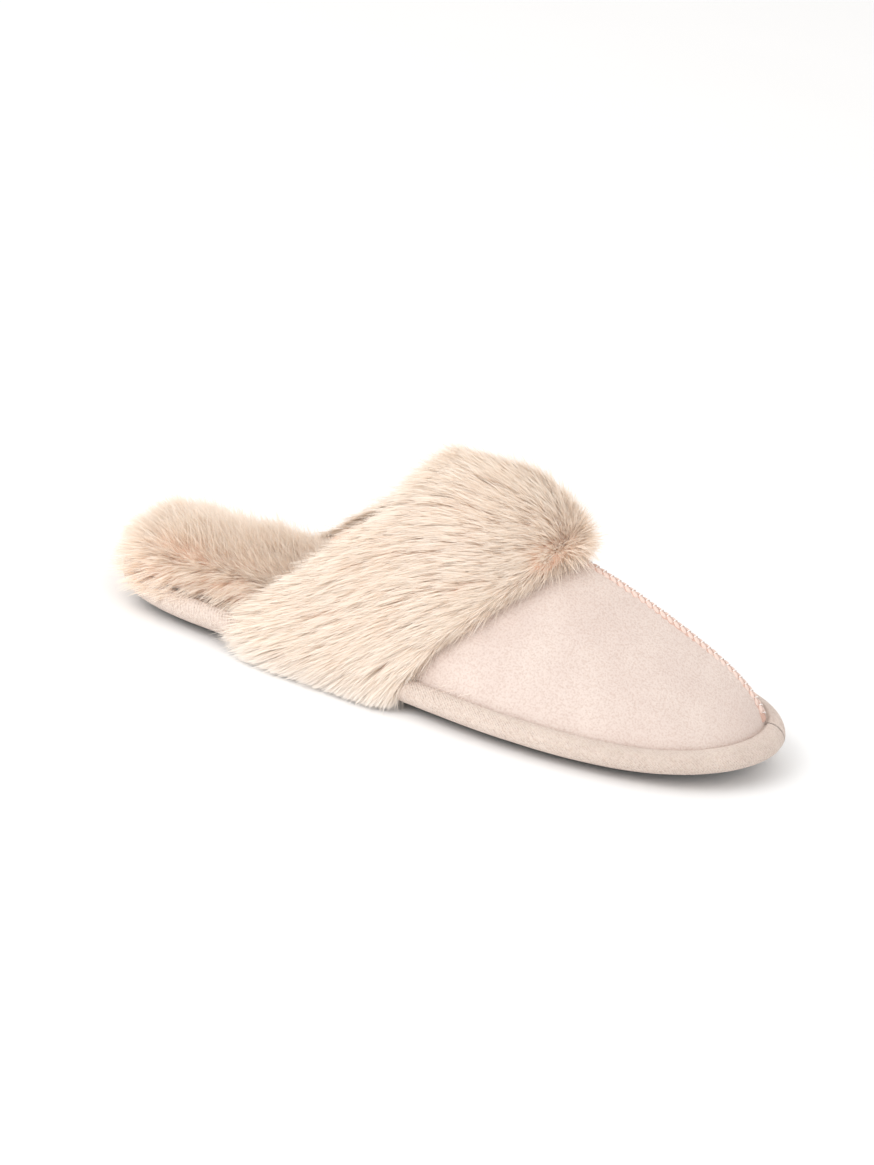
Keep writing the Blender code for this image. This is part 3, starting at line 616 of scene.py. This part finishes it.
def make_under_stitches():
    line = drawn_in(np.full(len(EDGE), UNDER_STITCH_INSET))
    closed = np.concatenate([line, line[:1]])
    travelled = np.concatenate([[0], np.cumsum(np.linalg.norm(np.diff(closed, axis=0), axis=1))])
    count = int(travelled[-1] / UNDER_STITCH_PITCH)
    paths = []
    for k in range(count):
        at = k * UNDER_STITCH_PITCH + np.linspace(0, UNDER_STITCH_LENGTH, 5)
        x = np.interp(at, travelled, closed[:, 0])
        y = np.interp(at, travelled, closed[:, 1])
        z = ROLL_CENTRE_HEIGHT - 0.86 * ROLL_RADIUS + lift(x)
        bow = np.array([0.0003, -0.00005, -0.00012, -0.00005, 0.0003])
        paths.append(np.stack([x, y, z + bow], axis=1))
    stitches = joined_tubes("edge_stitches", paths, 0.00030, dark_thread)
    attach(stitches, "root")


# Centre seam


def crest_line():
    start = THROAT_X + 0.020
    xs = (TOE_X - 0.0008) - (TOE_X - 0.0008 - start) * np.linspace(1, 0, 1200) ** 2
    line = np.stack([xs, np.zeros_like(xs), arch(xs, 0.0)[:, 2]], axis=1)
    travelled = np.concatenate([[0], np.cumsum(np.linalg.norm(np.diff(line, axis=0), axis=1))])
    return line, travelled


def crest_frame(at, line, travelled):
    place = np.stack([np.interp(at, travelled, line[:, i]) for i in range(3)], axis=-1)
    ahead = np.stack([np.interp(at + 0.0004, travelled, line[:, i]) for i in range(3)], axis=-1)
    behind = np.stack([np.interp(at - 0.0004, travelled, line[:, i]) for i in range(3)], axis=-1)
    along = unit(ahead - behind)
    normal = np.stack([-along[..., 2], np.zeros(along.shape[:-1]), along[..., 0]], axis=-1)
    return place, along, normal


def on_vamp(place, along, normal, ahead, y, up):
    """Points by the crest: ahead metres along it, y to the side, up metres off the vamp's face."""
    points = place + along * ahead[..., None]
    half = feather_half(points[..., 0], np.sign(y) + 0.5)
    drop = 1 - (1 - np.clip(np.abs(y) / half, 0, 1) ** (2 / ARCH_WIDTH_POWER)) ** (ARCH_HEIGHT_POWER / 2)
    fall = crest_rise(points[..., 0]) * drop
    points[..., 1] = y
    points[..., 2] -= fall
    return points + normal * np.asarray(up)[..., None]


SEAM_ROWS = [(-0.0012, 0.0, 0.00105), (0.0013, 0.5, 0.00095)]
SEAM_PUFF_RISE, SEAM_PUFF_SINK = 0.00105, 0.0003
SEAM_SLANT = 0.30


def ball(rings, around):
    """Vertices and faces of a unit sphere of quads with triangles at its ends, its axis along x."""
    turn = np.linspace(0, math.pi, rings + 2)[1:-1]
    spin = np.linspace(0, 2 * math.pi, around, endpoint=False)
    level, reach = np.cos(turn)[:, None], np.sin(turn)[:, None]
    ring = np.stack(np.broadcast_arrays(level, reach * np.cos(spin), reach * np.sin(spin)), axis=-1)
    vertices = np.concatenate([ring.reshape(-1, 3), [[1.0, 0, 0], [-1.0, 0, 0]]])
    quads = grid_faces(rings, around, True)[:, ::-1]
    i = np.arange(around)
    j = (i + 1) % around
    first, last = rings * around, (rings - 1) * around
    front = np.stack([i, j, np.full(around, first)], 1)
    back = np.stack([last + j, last + i, np.full(around, first + 1)], 1)
    return vertices, quads, np.concatenate([front, back])


def make_centre_seam():
    """A raised welt whipped over in two rows of puffs, with thread showing between them; the welt's dark pink
    is painted shadow along the seam's sides.
    """
    line, travelled = crest_line()
    total = travelled[-1]
    at = np.linspace(0, total, 500)
    place, along, normal = crest_frame(at, line, travelled)
    half = SEAM_WIDTH / 2
    section = [(-1.20, -0.0008), (-0.98, 0.0003), (-0.60, 0.0008), (0.0, 0.0008)]
    section += [(0.60, 0.0008), (0.98, 0.0003), (1.20, -0.0008)]
    rows = []
    for across, up in section:
        y = np.full(len(at), across * half)
        rows.append(on_vamp(place, along, normal, np.zeros(len(at)), y, np.full(len(at), up)))
    grid = np.stack(rows, axis=1)
    faces = [grid_faces(len(at), len(section), True)[:, ::-1]]
    # The welt's dark pink colour is painted shadow along the seam's sides.
    welt = mesh_object("seam_welt", grid.reshape(-1, 3), faces, seam_shadow)
    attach(welt, "root")
    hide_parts("centre_seam")
    unit_ball, quads, tips = ball(7, 12)
    vertices, all_quads, all_tips = [], [], []
    for middle_y, shift, reach in SEAM_ROWS:
        for k in range(int(total / SEAM_STITCH_PITCH - 0.6)):
            ahead = unit_ball[:, 0] * SEAM_STITCH_PITCH * 0.58
            centre = (k + 0.6 + shift) * SEAM_STITCH_PITCH
            place, along, normal = crest_frame(np.clip(centre + ahead, 0, total), line, travelled)
            y = middle_y + unit_ball[:, 1] * reach - SEAM_SLANT * ahead
            up = SEAM_PUFF_SINK + unit_ball[:, 2] * SEAM_PUFF_RISE * (0.9 + 0.2 * rng.random())
            base = len(vertices) * len(unit_ball)
            vertices.append(on_vamp(place, along, normal, np.zeros(len(ahead)), y, up))
            all_quads.append(quads + base)
            all_tips.append(tips + base)
    faces = [np.concatenate(all_quads), np.concatenate(all_tips)]
    puffs = mesh_object("seam_puffs", np.concatenate(vertices), faces, thread)
    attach(puffs, "root")
    paths = []
    turn = np.linspace(-1, 1, 7)
    for k in range(int(total / SEAM_STITCH_PITCH)):
        middle = (k + 0.35) * SEAM_STITCH_PITCH
        place, along, normal = crest_frame(middle + turn * 0.0007, line, travelled)
        up = 0.0013 * np.sqrt(np.clip(1 - np.abs(turn) ** 2.2, 0, 1)) + 0.0002
        paths.append(on_vamp(place, along, normal, np.zeros(7), turn * 0.0011, up))
    # The crossings are real thread; their near-white colour is a painted highlight.
    crossings = joined_tubes("seam_crossings", paths, 0.00022, thread_painted_highlight, 6)
    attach(crossings, "root")


# Hairs


def hair_mesh(name, root, middle, tip, wide, width, tone, material):
    """Ribbons along quadratic curves root-middle-tip, wide is the direction of their width."""
    stations = np.array([0.0, 0.42, 0.76])
    shares = np.array([1.0, 0.85, 0.55])
    n = len(root)
    wide = unit(wide)
    vertices = np.empty((n, 7, 3))
    along = np.empty((n, 7))
    for i, (t, share) in enumerate(zip(stations, shares)):
        centre = (1 - t) ** 2 * root + 2 * t * (1 - t) * middle + t * t * tip
        reach = wide * (width * share / 2)[:, None]
        vertices[:, 2 * i] = centre - reach
        vertices[:, 2 * i + 1] = centre + reach
        along[:, 2 * i : 2 * i + 2] = t
    vertices[:, 6] = tip
    along[:, 6] = 1.0
    base = (np.arange(n) * 7)[:, None]
    quads = np.concatenate([base + np.array([[0, 1, 3, 2]]), base + np.array([[2, 3, 5, 4]])])
    tris = base + np.array([[4, 5, 6]])
    values = {"along": along.reshape(-1), "tone": np.repeat(tone, 7)}
    return mesh_object(name, vertices.reshape(-1, 3), [quads, tris], material, True, values)


def jittered_cells(a, b, pitch, seed):
    """The nearest of a jittered grid of centres to each point (a, b): its place and a number for it."""
    cell_a, cell_b = np.floor(a / pitch).astype(np.int64), np.floor(b / pitch).astype(np.int64)
    best = np.full(len(a), np.inf)
    centre_a, centre_b, number = np.zeros(len(a)), np.zeros(len(a)), np.zeros(len(a))
    for i in (-1, 0, 1):
        for j in (-1, 0, 1):
            p, q = cell_a + i, cell_b + j
            mixed = p * 73856093 + q * 19349663 + seed * 83492791
            mixed = (mixed ^ (mixed >> 11)) * 668265263
            first = ((mixed >> 3) & 0xFFF) / 4095.0
            second = ((mixed >> 17) & 0xFFF) / 4095.0
            ca, cb = (p + 0.15 + 0.7 * first) * pitch, (q + 0.15 + 0.7 * second) * pitch
            far = (a - ca) ** 2 + (b - cb) ** 2
            closer = far < best
            best = np.where(closer, far, best)
            centre_a, centre_b = np.where(closer, ca, centre_a), np.where(closer, cb, centre_b)
            number = np.where(closer, ((mixed >> 7) & 0xFFF) / 4095.0, number)
    return centre_a, centre_b, number


LOOSE_WHERE_WEAK = 4.0


def lying(surface, a, b, length, stand):
    """Where hairs of that length end: lying along the flow, or standing up where the flow is weak."""
    place, normal, flow, depth, reach = surface(a, b)
    pace = np.linalg.norm(flow, axis=1)
    length = length * reach
    ahead = flow * (length / np.maximum(pace, 1.0))[:, None]
    upright = stand * reach + 0.25 * length * (1 - np.minimum(pace, 1.0))
    return place, normal, flow, depth, length, place + ahead + normal * upright[:, None]


def grow(name, surface, a, b, spec, keep_off_vamp=True):
    """Hairs rooted at the surface's parameters (a, b), in metres, drawn a little into locks and tufts.

    surface(a, b) gives places on the outside of the pile, normals, flow directions, the pile's depth there
    and the share of the full length that hairs have there."""
    n = len(a)
    fly = rng.random(n) > spec["tidy"]
    stand = spec["stand"] * (0.2 + 1.3 * rng.random(n)) * np.where(fly, 2.0, 1.0)
    length = spec["length"] * (0.70 + 0.6 * rng.random(n))
    place, normal, flow, depth, length, tip = lying(surface, a, b, length, stand)
    for pitch, share, seed in ((spec["tuft"], spec["pull"], 5), (spec["lock"], spec["pull"] * 0.5, 9)):
        centre_a, centre_b, number = jittered_cells(a, b, pitch, spec["seed"] + seed)
        common = spec["length"] * (0.80 + 0.4 * number)
        target = lying(surface, centre_a, centre_b, common, spec["stand"] * (0.3 + 1.2 * number))[-1]
        pull = np.where(fly, 0.3, 1.0) * share * (0.5 + 0.5 * rng.random(n))
        tip = tip + (target - tip) * pull[:, None]
    loose = np.where(fly, 1.8, 1.0) + LOOSE_WHERE_WEAK * np.clip(1 - np.linalg.norm(flow, axis=1), 0, 1)
    tip = tip + rng.normal(0, spec["spread"], (n, 3)) * loose[:, None]
    sunk = np.minimum(depth * 0.5, 0.005) * (0.6 + 0.4 * rng.random(n))
    root = place - normal * sunk[:, None] - flow * (0.12 * length)[:, None]
    bow = 0.16 * length * (0.4 + 0.9 * rng.random(n))
    middle = (root + tip) / 2 + normal * bow[:, None] + rng.normal(0, spec["spread"] * 0.7, (n, 3))
    if keep_off_vamp:
        for points in (middle, tip):
            floor = vamp_height(points[:, 0], points[:, 1]) + 0.0003 + 0.0010 * rng.random(n)
            points[:, 2] = np.maximum(points[:, 2], floor)
    middle[:, 2] = np.maximum(middle[:, 2], 0.0012)
    tip[:, 2] = np.maximum(tip[:, 2], 0.0010)
    wide = unit(np.cross(flow, normal)) + rng.normal(0, 0.40, (n, 3))
    width = spec["width"] * (0.7 + 0.6 * rng.random(n))
    patches = 0.5 + 0.5 * value_noise(place, 0.016, spec["seed"] + 2)
    # tone: a random grey for each hair, plus painted shade that greys the pile low on the cuff.
    tone = np.clip(spec["grey"] * patches * rng.random(n) + spec["painted_shade_at"](place), 0, 1)
    made = hair_mesh(name, root, middle, tip, wide, width, tone, pile)
    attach(made, "root")


# Cuff

# From the front edge over the top and the back to the inside: x counted from the front or from the edge, then
# how far out of the vamp's face, as a share of the pile
CUFF_ROWS = [
    ("front", 0.0004, 0.05),
    ("front", 0.0022, 0.30),
    ("front", 0.0010, 0.58),
    ("front", -0.0055, 0.82),
    ("front", -0.0140, 0.95),
    ("front", -0.0250, 1.00),
    ("edge", 0.0150, 1.00),
    ("edge", 0.0050, 0.90),
    ("edge", -0.0035, 0.62),
    ("edge", -0.0085, 0.28),
    ("edge", -0.0100, -0.02),
    ("edge", -0.0070, -0.30),
    ("edge", 0.0010, -0.45),
    ("edge", 0.0090, -0.42),
    ("edge", 0.0150, -0.20),
]
CUFF_OUTSIDE_END = 9 / 14
CUFF_V_SCALE, CUFF_S_SCALE = 0.078, 0.095


def cuff_place(v, s, depth=1.0):
    """A point of the cuff: s runs 0 at the front edge to 1 inside. depth 1 is the full pile, 0 its backing."""
    knots = np.linspace(0, 1, len(CUFF_ROWS))
    table = np.array([(1.0 if start == "front" else 0.0, along, out) for start, along, out in CUFF_ROWS])
    band, along, out = (np.interp(s, knots, table[:, i]) for i in range(3))
    x = opening_x(v) + CUFF_BAND * band + along * (0.35 + 0.65 * depth)
    crown = np.cos(np.abs(v) * math.pi / 2) ** 0.6
    inner = WALL + 2 * CLEARANCE + (0.0015 + 0.0105 * crown) * np.maximum(-out, 0) * depth
    outer = np.maximum(out, 0) * depth
    inside = np.where(out < 0, inner, 0.0)
    wider, higher = outer * CUFF_SIDE_PILE - inside, outer * (PILE + CUFF_DRAPE) - inside
    return arch(x, v, wider, higher, outer * CUFF_DRAPE)


# Along the cuff from its front edge (0) to its back edge (1) and inside: how far the hair leans to the heel,
# over the crest and at the sides, and the share of its full length
CUFF_FLOW = [
    (0.00, -0.90, -0.20, 0.50),
    (0.08, -0.65, 0.00, 0.65),
    (0.18, 0.05, 0.15, 0.85),
    (0.30, 0.65, 0.25, 0.90),
    (0.50, 0.80, 0.40, 1.00),
    (0.80, 0.90, 0.60, 1.00),
    (1.00, 0.85, 0.72, 0.95),
    (1.60, 0.30, 0.30, 0.80),
]
CUFF_SIDE_FROM = 0.55


def cuff_surface(a, b):
    v, s = np.clip(a / CUFF_V_SCALE, -0.985, 0.985), np.clip(b / CUFF_S_SCALE, 0, 1)
    place = cuff_place(v, s)
    backing = cuff_place(v, s, 0.0)
    dv = cuff_place(np.clip(v + 0.02, -1, 1), s) - cuff_place(np.clip(v - 0.02, -1, 1), s)
    ds = cuff_place(v, np.clip(s + 0.03, 0, 1)) - cuff_place(v, np.clip(s - 0.03, 0, 1))
    normal = unit(np.cross(unit(dv), unit(ds)))
    table = np.array(CUFF_FLOW)
    crest, side, reach = (np.interp(s / CUFF_OUTSIDE_END, table[:, 0], table[:, i]) for i in (1, 2, 3))
    beside = ease(np.abs(v) / CUFF_SIDE_FROM)
    lean = crest + (side - crest) * beside
    swirl = value_noise(place, 0.028, 21)
    down = unit(dv) * (np.sign(v) * beside)[:, None]
    drift = unit(dv) * (0.35 * value_noise(place, 0.022, 22))[:, None]
    flow = down + unit(ds) * (lean + 0.40 * swirl)[:, None] + drift
    flow = flow - normal * np.sum(flow * normal, axis=1)[:, None]
    lump = 0.0013 * value_noise(place, 0.015, 23) + 0.0006 * value_noise(place, 0.007, 24)
    place = place + normal * (lump * np.minimum(reach, 1.0))[:, None]
    return place, normal, flow, np.linalg.norm(place - backing, axis=1), reach


# Painted shade: the pile turns greyer from 16 mm above the floor down to 4 mm.
def cuff_low_painted_shade(place):
    return 0.45 * ease((0.016 - place[:, 2]) / 0.012)


def make_cuff():
    columns, rows = ((150, 90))
    v = np.linspace(-0.985, 0.985, columns + 1)
    s = np.linspace(0, 1, rows)
    vv, ss = np.meshgrid(v, s, indexing="ij")
    outside = cuff_place(vv.reshape(-1), ss.reshape(-1), 0.78).reshape(*vv.shape, 3)
    lump = value_noise(outside.reshape(-1, 3), 0.007, 14).reshape(vv.shape)
    back = cuff_place(vv.reshape(-1), ss.reshape(-1), 0.0).reshape(*vv.shape, 3)
    outside = outside + unit(outside - back + 1e-9) * (lump * 0.0012)[..., None]
    edge = opening_x(v)
    inner_in = arch(edge + 0.006, v, -WALL - 0.0005, -WALL - 0.0005)
    inner_out = arch(edge - 0.0006, v, -WALL - 0.0005, -WALL - 0.0005)
    face_in = arch(edge - 0.0006, v, 0.0004, 0.0009, 0.0)
    face_out = arch(edge + CUFF_BAND, v, 0.0004, 0.0009, 0.0)
    closing = np.stack([inner_in, inner_out, face_in, face_out], axis=1)
    grid = np.concatenate([outside, closing], axis=1)
    count = grid.shape[1]
    ends = np.stack([np.arange(count)[::-1], columns * count + np.arange(count)])
    faces = [grid_faces(columns + 1, count, True), ends]
    body = mesh_object("cuff_undercoat", grid.reshape(-1, 3), faces, undercoat)
    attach(body, "root")
    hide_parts("pile_cuff")
    hairs = 35000
    outer = {"lock": 0.0110, "tuft": 0.0036, "length": 0.0125, "stand": 0.0030, "pull": 0.42, "spread": 0.0007}
    outer.update({"tidy": 0.85, "width": 0.00025, "grey": 0.30, "painted_shade_at": cuff_low_painted_shade, "slot": "cuff_pile"})
    for layer in range(3):
        a = rng.uniform(-0.985, 0.985, hairs) * CUFF_V_SCALE
        b = rng.random(hairs) ** 1.2 * CUFF_OUTSIDE_END * 1.02 * CUFF_S_SCALE
        grow(f"cuff_hair_{layer}", cuff_surface, a, b, {**outer, "seed": 31})
    inner = {**outer, "length": 0.0075, "stand": 0.0012, "seed": 47, "lock": 0.007}
    count = int(hairs * 0.4)
    a = rng.uniform(-0.985, 0.985, count) * CUFF_V_SCALE
    b = (CUFF_OUTSIDE_END * 0.97 + (1 - CUFF_OUTSIDE_END * 0.97) * rng.random(count)) * CUFF_S_SCALE
    grow("cuff_hair_inside", cuff_surface, a, b, inner, False)


# Footbed

FOOTBED_ROWS = [(0.0034, 0.25), (0.0046, 0.55), (0.0070, 0.78), (0.0120, 0.93), (0.0220, 1.05), (0.0400, 1.08)]
FOOTBED_NARROWS_FROM, FOOTBED_NARROWS_TO, FOOTBED_NARROWING = 0.012, 0.050, 0.0080


def footbed_height(x):
    return FOOTBED_HEEL_HEIGHT + (FOOTBED_TOE_HEIGHT - FOOTBED_HEEL_HEIGHT) * ease((x - 0.058) / 0.072)


def outline_distance(points):
    """Distance of (x, y) points inside the outline, and the outline's outward direction by them."""
    far = np.empty(len(points))
    out = np.empty((len(points), 2))
    coarse, coarse_normal = EDGE[::4], EDGE_NORMAL[::4]
    for start in range(0, len(points), 20000):
        part = points[start : start + 20000]
        gap = ((part[:, None] - coarse[None]) ** 2).sum(axis=2)
        nearest = gap.argmin(axis=1)
        delta = coarse[nearest] - part
        far[start : start + 20000] = (delta * coarse_normal[nearest]).sum(axis=1)
        out[start : start + 20000] = coarse_normal[nearest]
    return far, out


def footbed_narrowing(x):
    return FOOTBED_NARROWING * ease((x - FOOTBED_NARROWS_FROM) / (FOOTBED_NARROWS_TO - FOOTBED_NARROWS_FROM))


def footbed_z(points):
    far, out = outline_distance(points)
    narrow = footbed_narrowing(points[:, 0])
    table = np.array(FOOTBED_ROWS)
    share = np.interp(far - narrow, table[:, 0], table[:, 1], left=0.0)
    return DECK_HEIGHT + lift(points[:, 0]) + share * footbed_height(points[:, 0]), far - narrow, out


def footbed_surface(a, b):
    points = np.stack([a, b], axis=1)
    z, inside, out = footbed_z(points)
    place = np.column_stack([points, z])
    rim = ease((0.012 - inside) / 0.009)
    normal = unit(np.column_stack([out * (0.9 * rim)[:, None], np.ones(len(a))]))
    swirl = value_noise(place, 0.022, 61)
    flow = np.column_stack([-0.50 + 0.4 * value_noise(place, 0.025, 62), 0.5 * swirl + b * 6.0, 0.0 * a])
    flow[:, :2] += out * (1.5 * ease((0.022 - inside) / 0.018))[:, None]
    flow = flow - normal * np.sum(flow * normal, axis=1)[:, None]
    lump = 0.0012 * value_noise(place, 0.014, 63) + 0.0005 * value_noise(place, 0.006, 64)
    place = place + normal * lump[:, None]
    return place, normal, flow, 0.6 * footbed_height(a), np.ones(len(a))


def no_grey(place):
    return np.zeros(len(place))


def narrowed(inset):
    return lambda x: inset + footbed_narrowing(x)


def piled(share):
    return lambda x: DECK_HEIGHT + CLEARANCE + share * footbed_height(x)


def make_footbed():
    stations = 140
    rows = []
    for inset, share in [(0.0060, 0.0), (0.0042, 0.22)] + [(d + 0.0010, s * 0.86) for d, s in FOOTBED_ROWS]:
        rows.append((narrowed(inset), piled(share), TOE_ROLL_GAIN))
    rings = footprint_rings(rows[:-1], stations)
    vertices, faces = footprint_body(rings)
    lump = value_noise(vertices, 0.008, 15) * 0.0010 * (vertices[:, 2] > DECK_HEIGHT + 0.006)
    vertices = vertices + np.column_stack([np.zeros((len(vertices), 2)), lump])
    body = mesh_object("footbed_undercoat", vertices, faces, undercoat)
    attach(body, "root")
    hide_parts("pile_footbed")
    hairs = 21000
    spec = {"lock": 0.0100, "tuft": 0.0036, "length": 0.0100, "stand": 0.0032, "pull": 0.42, "spread": 0.0007}
    spec.update({"tidy": 0.85, "width": 0.00025, "grey": 0.20, "painted_shade_at": no_grey, "slot": "footbed_pile"})
    for layer, limit in enumerate((0.085, 0.150)):
        a, b = rng.uniform(0.0, limit, 3 * hairs), rng.uniform(-0.055, 0.055, 3 * hairs)
        _, inside, _ = footbed_z(np.stack([a, b], axis=1))
        keep = np.flatnonzero(inside > 0.0020)[:hairs]
        grow(f"footbed_hair_{layer}", footbed_surface, a[keep], b[keep], {**spec, "seed": 71}, False)


# Outsole


def panel_inset(x):
    share = x / LENGTH
    waist = ease((share - WAIST_FROM) / WAIST_FROM) * ease((WAIST_TO - share) / WAIST_FROM)
    return SOLE_INSET + BAND_WIDTH + WAIST_BAND_GAIN * waist


def side_line(inset):
    return split_sides(drawn_in(inset(EDGE[:, 0]), 0.0))


def make_outsole():
    stations = 240

    def beside_panel(step):
        return lambda x: panel_inset(x) + step

    rows = [
        (beside_panel(0.0006), constant(PANEL_RECESS), 0.0),
        (beside_panel(0.0002), constant(0.0004), 0.0),
        (beside_panel(-0.0003), constant(0.0002), 0.0),
        (beside_panel(-0.0009), constant(0.0004), 0.0),
        (beside_panel(-0.0012), constant(0.0010), 0.0),
        (beside_panel(-0.0016), constant(0.0007), 0.0),
        (beside_panel(-0.0030), constant(0.0003), 0.0),
        (beside_panel(-0.0052), constant(0.0003), 0.0),
        (constant(SOLE_INSET + 0.0042), constant(0.0006), 0.0),
        (constant(SOLE_INSET + 0.0026), constant(0.0011), 0.0),
        (constant(SOLE_INSET + 0.0018), constant(0.0018), 0.0),
        (constant(SOLE_INSET + 0.0012), constant(0.0021), 0.0),
        (constant(SOLE_INSET + 0.0002), constant(0.0022), 0.0),
        (constant(SOLE_INSET), constant(0.0026), 0.0),
        (constant(SOLE_INSET + 0.0002), constant(SOLE_THICKNESS), 0.0),
    ]
    vertices, faces = footprint_body(footprint_rings(rows, stations))
    body = mesh_object("sole_body", vertices, faces, smooth_rubber)
    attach(body, "root")
    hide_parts("outsole")
    line = side_line(lambda x: panel_inset(x) + RIB_END_GAP)
    low, high = line[0][0, 0], line[0][-1, 0]
    count = int((high - low - 0.001) / RIB_PITCH)
    first = (low + high - (count - 1) * RIB_PITCH) / 2
    disc = np.array([DISC_ALONG * LENGTH, -DISC_LATERAL])
    lean = math.tan(RIB_SLANT)
    section = [(-1.0, 1.0), (-0.97, 0.45), (-0.72, 0.12), (0.0, 0.0), (0.72, 0.12), (0.97, 0.45), (1.0, 1.0)]
    vertices, quads = [], []
    base = 0
    for k in range(count):
        x = first + k * RIB_PITCH
        ends = []
        for side in line:
            y = 0.0
            for _ in range(6):
                y = float(np.interp(x + y * lean, side[:, 0], side[:, 1]))
            ends.append(y)
        spans = [(ends[0], ends[1])]
        clear = DISC_RADIUS + DISC_GAP + RIB_WIDTH * 0.35
        offset = (disc[0] - x - disc[1] * lean) * math.cos(RIB_SLANT)
        if abs(offset) < clear:
            middle = disc[1] + offset * math.sin(RIB_SLANT)
            half = math.sqrt(clear**2 - offset**2)
            spans = [(ends[0], middle - half), (middle + half, ends[1])]
        for start, end in spans:
            if end - start < 0.0025:
                continue
            n = max(10, int((end - start) / 0.0012))
            y = start + (end - start) * (1 - np.cos(np.linspace(0, math.pi, n))) / 2
            near = np.minimum(y - start, end - y)
            round_off = np.sqrt(np.clip(1 - (1 - np.clip(near / 0.0013, 0, 1)) ** 2, 0.02, 1))
            for across, depth in section:
                px = x + y * lean + across * RIB_WIDTH / 2 * (0.35 + 0.65 * round_off)
                z = (depth + (1 - depth) * 0.55 * (1 - round_off)) * (PANEL_RECESS + 0.0002) + lift(px)
                vertices.append(np.stack([px, y, z], axis=1))
            patch = grid_faces(len(section), n, False, base)
            quads.append(patch[:, ::-1])
            base += len(section) * n
    ribs = mesh_object("sole_ribs", np.concatenate(vertices), [np.concatenate(quads)], ribbed_rubber)
    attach(ribs, "root")
    turn = np.linspace(0, 2 * math.pi, 96, endpoint=False)
    radii = [(1.0, 0.0016), (1.0, 0.0003), (0.97, 0.0), (0.885, 0.0)]
    radii += [(0.870, 0.0004), (0.855, 0.0004), (0.84, 0.0), (0.3, 0.0)]
    rings = []
    for radius, z in radii:
        ring = disc + DISC_RADIUS * radius * np.stack([np.cos(turn), np.sin(turn)], axis=1)
        rings.append(np.column_stack([ring, np.full(len(turn), z)]))
    grid = np.array(rings)
    cap = [((len(rings) - 1) * 96 + np.arange(96))[None, ::-1], np.arange(96)[None]]
    faces = [grid_faces(len(rings), 96, True)[:, ::-1], np.concatenate(cap)]
    plate = mesh_object("sole_disc", grid.reshape(-1, 3), faces, smooth_rubber, False)
    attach(plate, "root")


make_vamp()
make_padded_edge()
make_under_stitches()
make_centre_seam()
make_cuff()
make_footbed()
make_outsole()


# Floor, light and camera

AZIMUTH, ELEVATION, ROLL = math.radians(7.6), math.radians(20.47), math.radians(13.83)
CAMERA_DISTANCE, LENS, SENSOR = 1.2, 98.27, 36.0
SHIFT_X, SHIFT_Y = -0.02485, 0.01522
AIM = np.array([0.131, 0.0, 0.030]) + ORIGIN
WORLD_STRENGTH = 0.98
FLOOR_SIZE, FLOOR_DROP = 12.0, 0.0001


def look_at(holder, place, target, roll=0.0):
    """Turns a holder at place to look at target, rolled clockwise by roll."""
    back = unit(np.array(place, float) - np.array(target, float))
    right = unit(np.cross([0.0, 0.0, 1.0], back))
    up = np.cross(back, right)
    x = right * math.cos(roll) + up * math.sin(roll)
    y = -right * math.sin(roll) + up * math.cos(roll)
    turned = np.column_stack([x, y, back])
    holder.matrix_world = mathutils.Matrix.Translation(place) @ mathutils.Matrix(turned.tolist()).to_4x4()


def make_stage():
    floor_made, tree, shader = new_material("floor")
    tone = ramp(tree, noise(tree, 3, 2), [(0.3, (0.96, 0.96, 0.96)), (0.7, (0.97, 0.97, 0.97))])
    link(tree, tone, shader.inputs["Base Color"])
    shader.inputs["Roughness"].default_value = 0.9
    h = FLOOR_SIZE / 2
    z = -FLOOR_DROP
    corners = np.array([(-h, -h, z), (h, -h, z), (h, h, z), (-h, h, z)])
    floor = mesh_object("floor", corners - ORIGIN, [np.array([[0, 1, 2, 3]])], floor_made, False)
    world = bpy.data.worlds.new("studio")
    world.use_nodes = True
    background = world.node_tree.nodes["Background"]
    background.inputs["Color"].default_value = (1.0, 0.99, 0.98, 1.0)
    background.inputs["Strength"].default_value = WORLD_STRENGTH
    bpy.context.scene.world = world
    bpy.context.scene.view_settings.view_transform = "Standard"


def area_light(name, place, size, power, colour=(1.0, 1.0, 1.0)):
    light = bpy.data.lights.new(name, "AREA")
    light.shape = "DISK"
    light.size = size
    light.energy = power
    light.color = colour
    holder = bpy.data.objects.new(name, light)
    bpy.context.scene.collection.objects.link(holder)
    look_at(holder, place, (0.0, 0.0, 0.03))


def make_camera():
    data = bpy.data.cameras.new("camera")
    data.sensor_width = SENSOR
    data.sensor_height = SENSOR
    data.sensor_fit = "AUTO"
    data.lens = LENS
    data.shift_x, data.shift_y = SHIFT_X, SHIFT_Y
    data.clip_start, data.clip_end = 0.01, 50.0
    camera = bpy.data.objects.new("camera", data)
    bpy.context.scene.collection.objects.link(camera)
    level = math.cos(ELEVATION)
    back = np.array([math.sin(AZIMUTH) * level, -math.cos(AZIMUTH) * level, math.sin(ELEVATION)])
    look_at(camera, AIM + back * CAMERA_DISTANCE, AIM, ROLL)
    bpy.context.scene.camera = camera


make_stage()
area_light("key", (-0.7, -1.1, 0.9), 1.0, 12.0)
area_light("fill", (1.2, -0.8, 0.9), 1.4, 1.5)
make_camera()
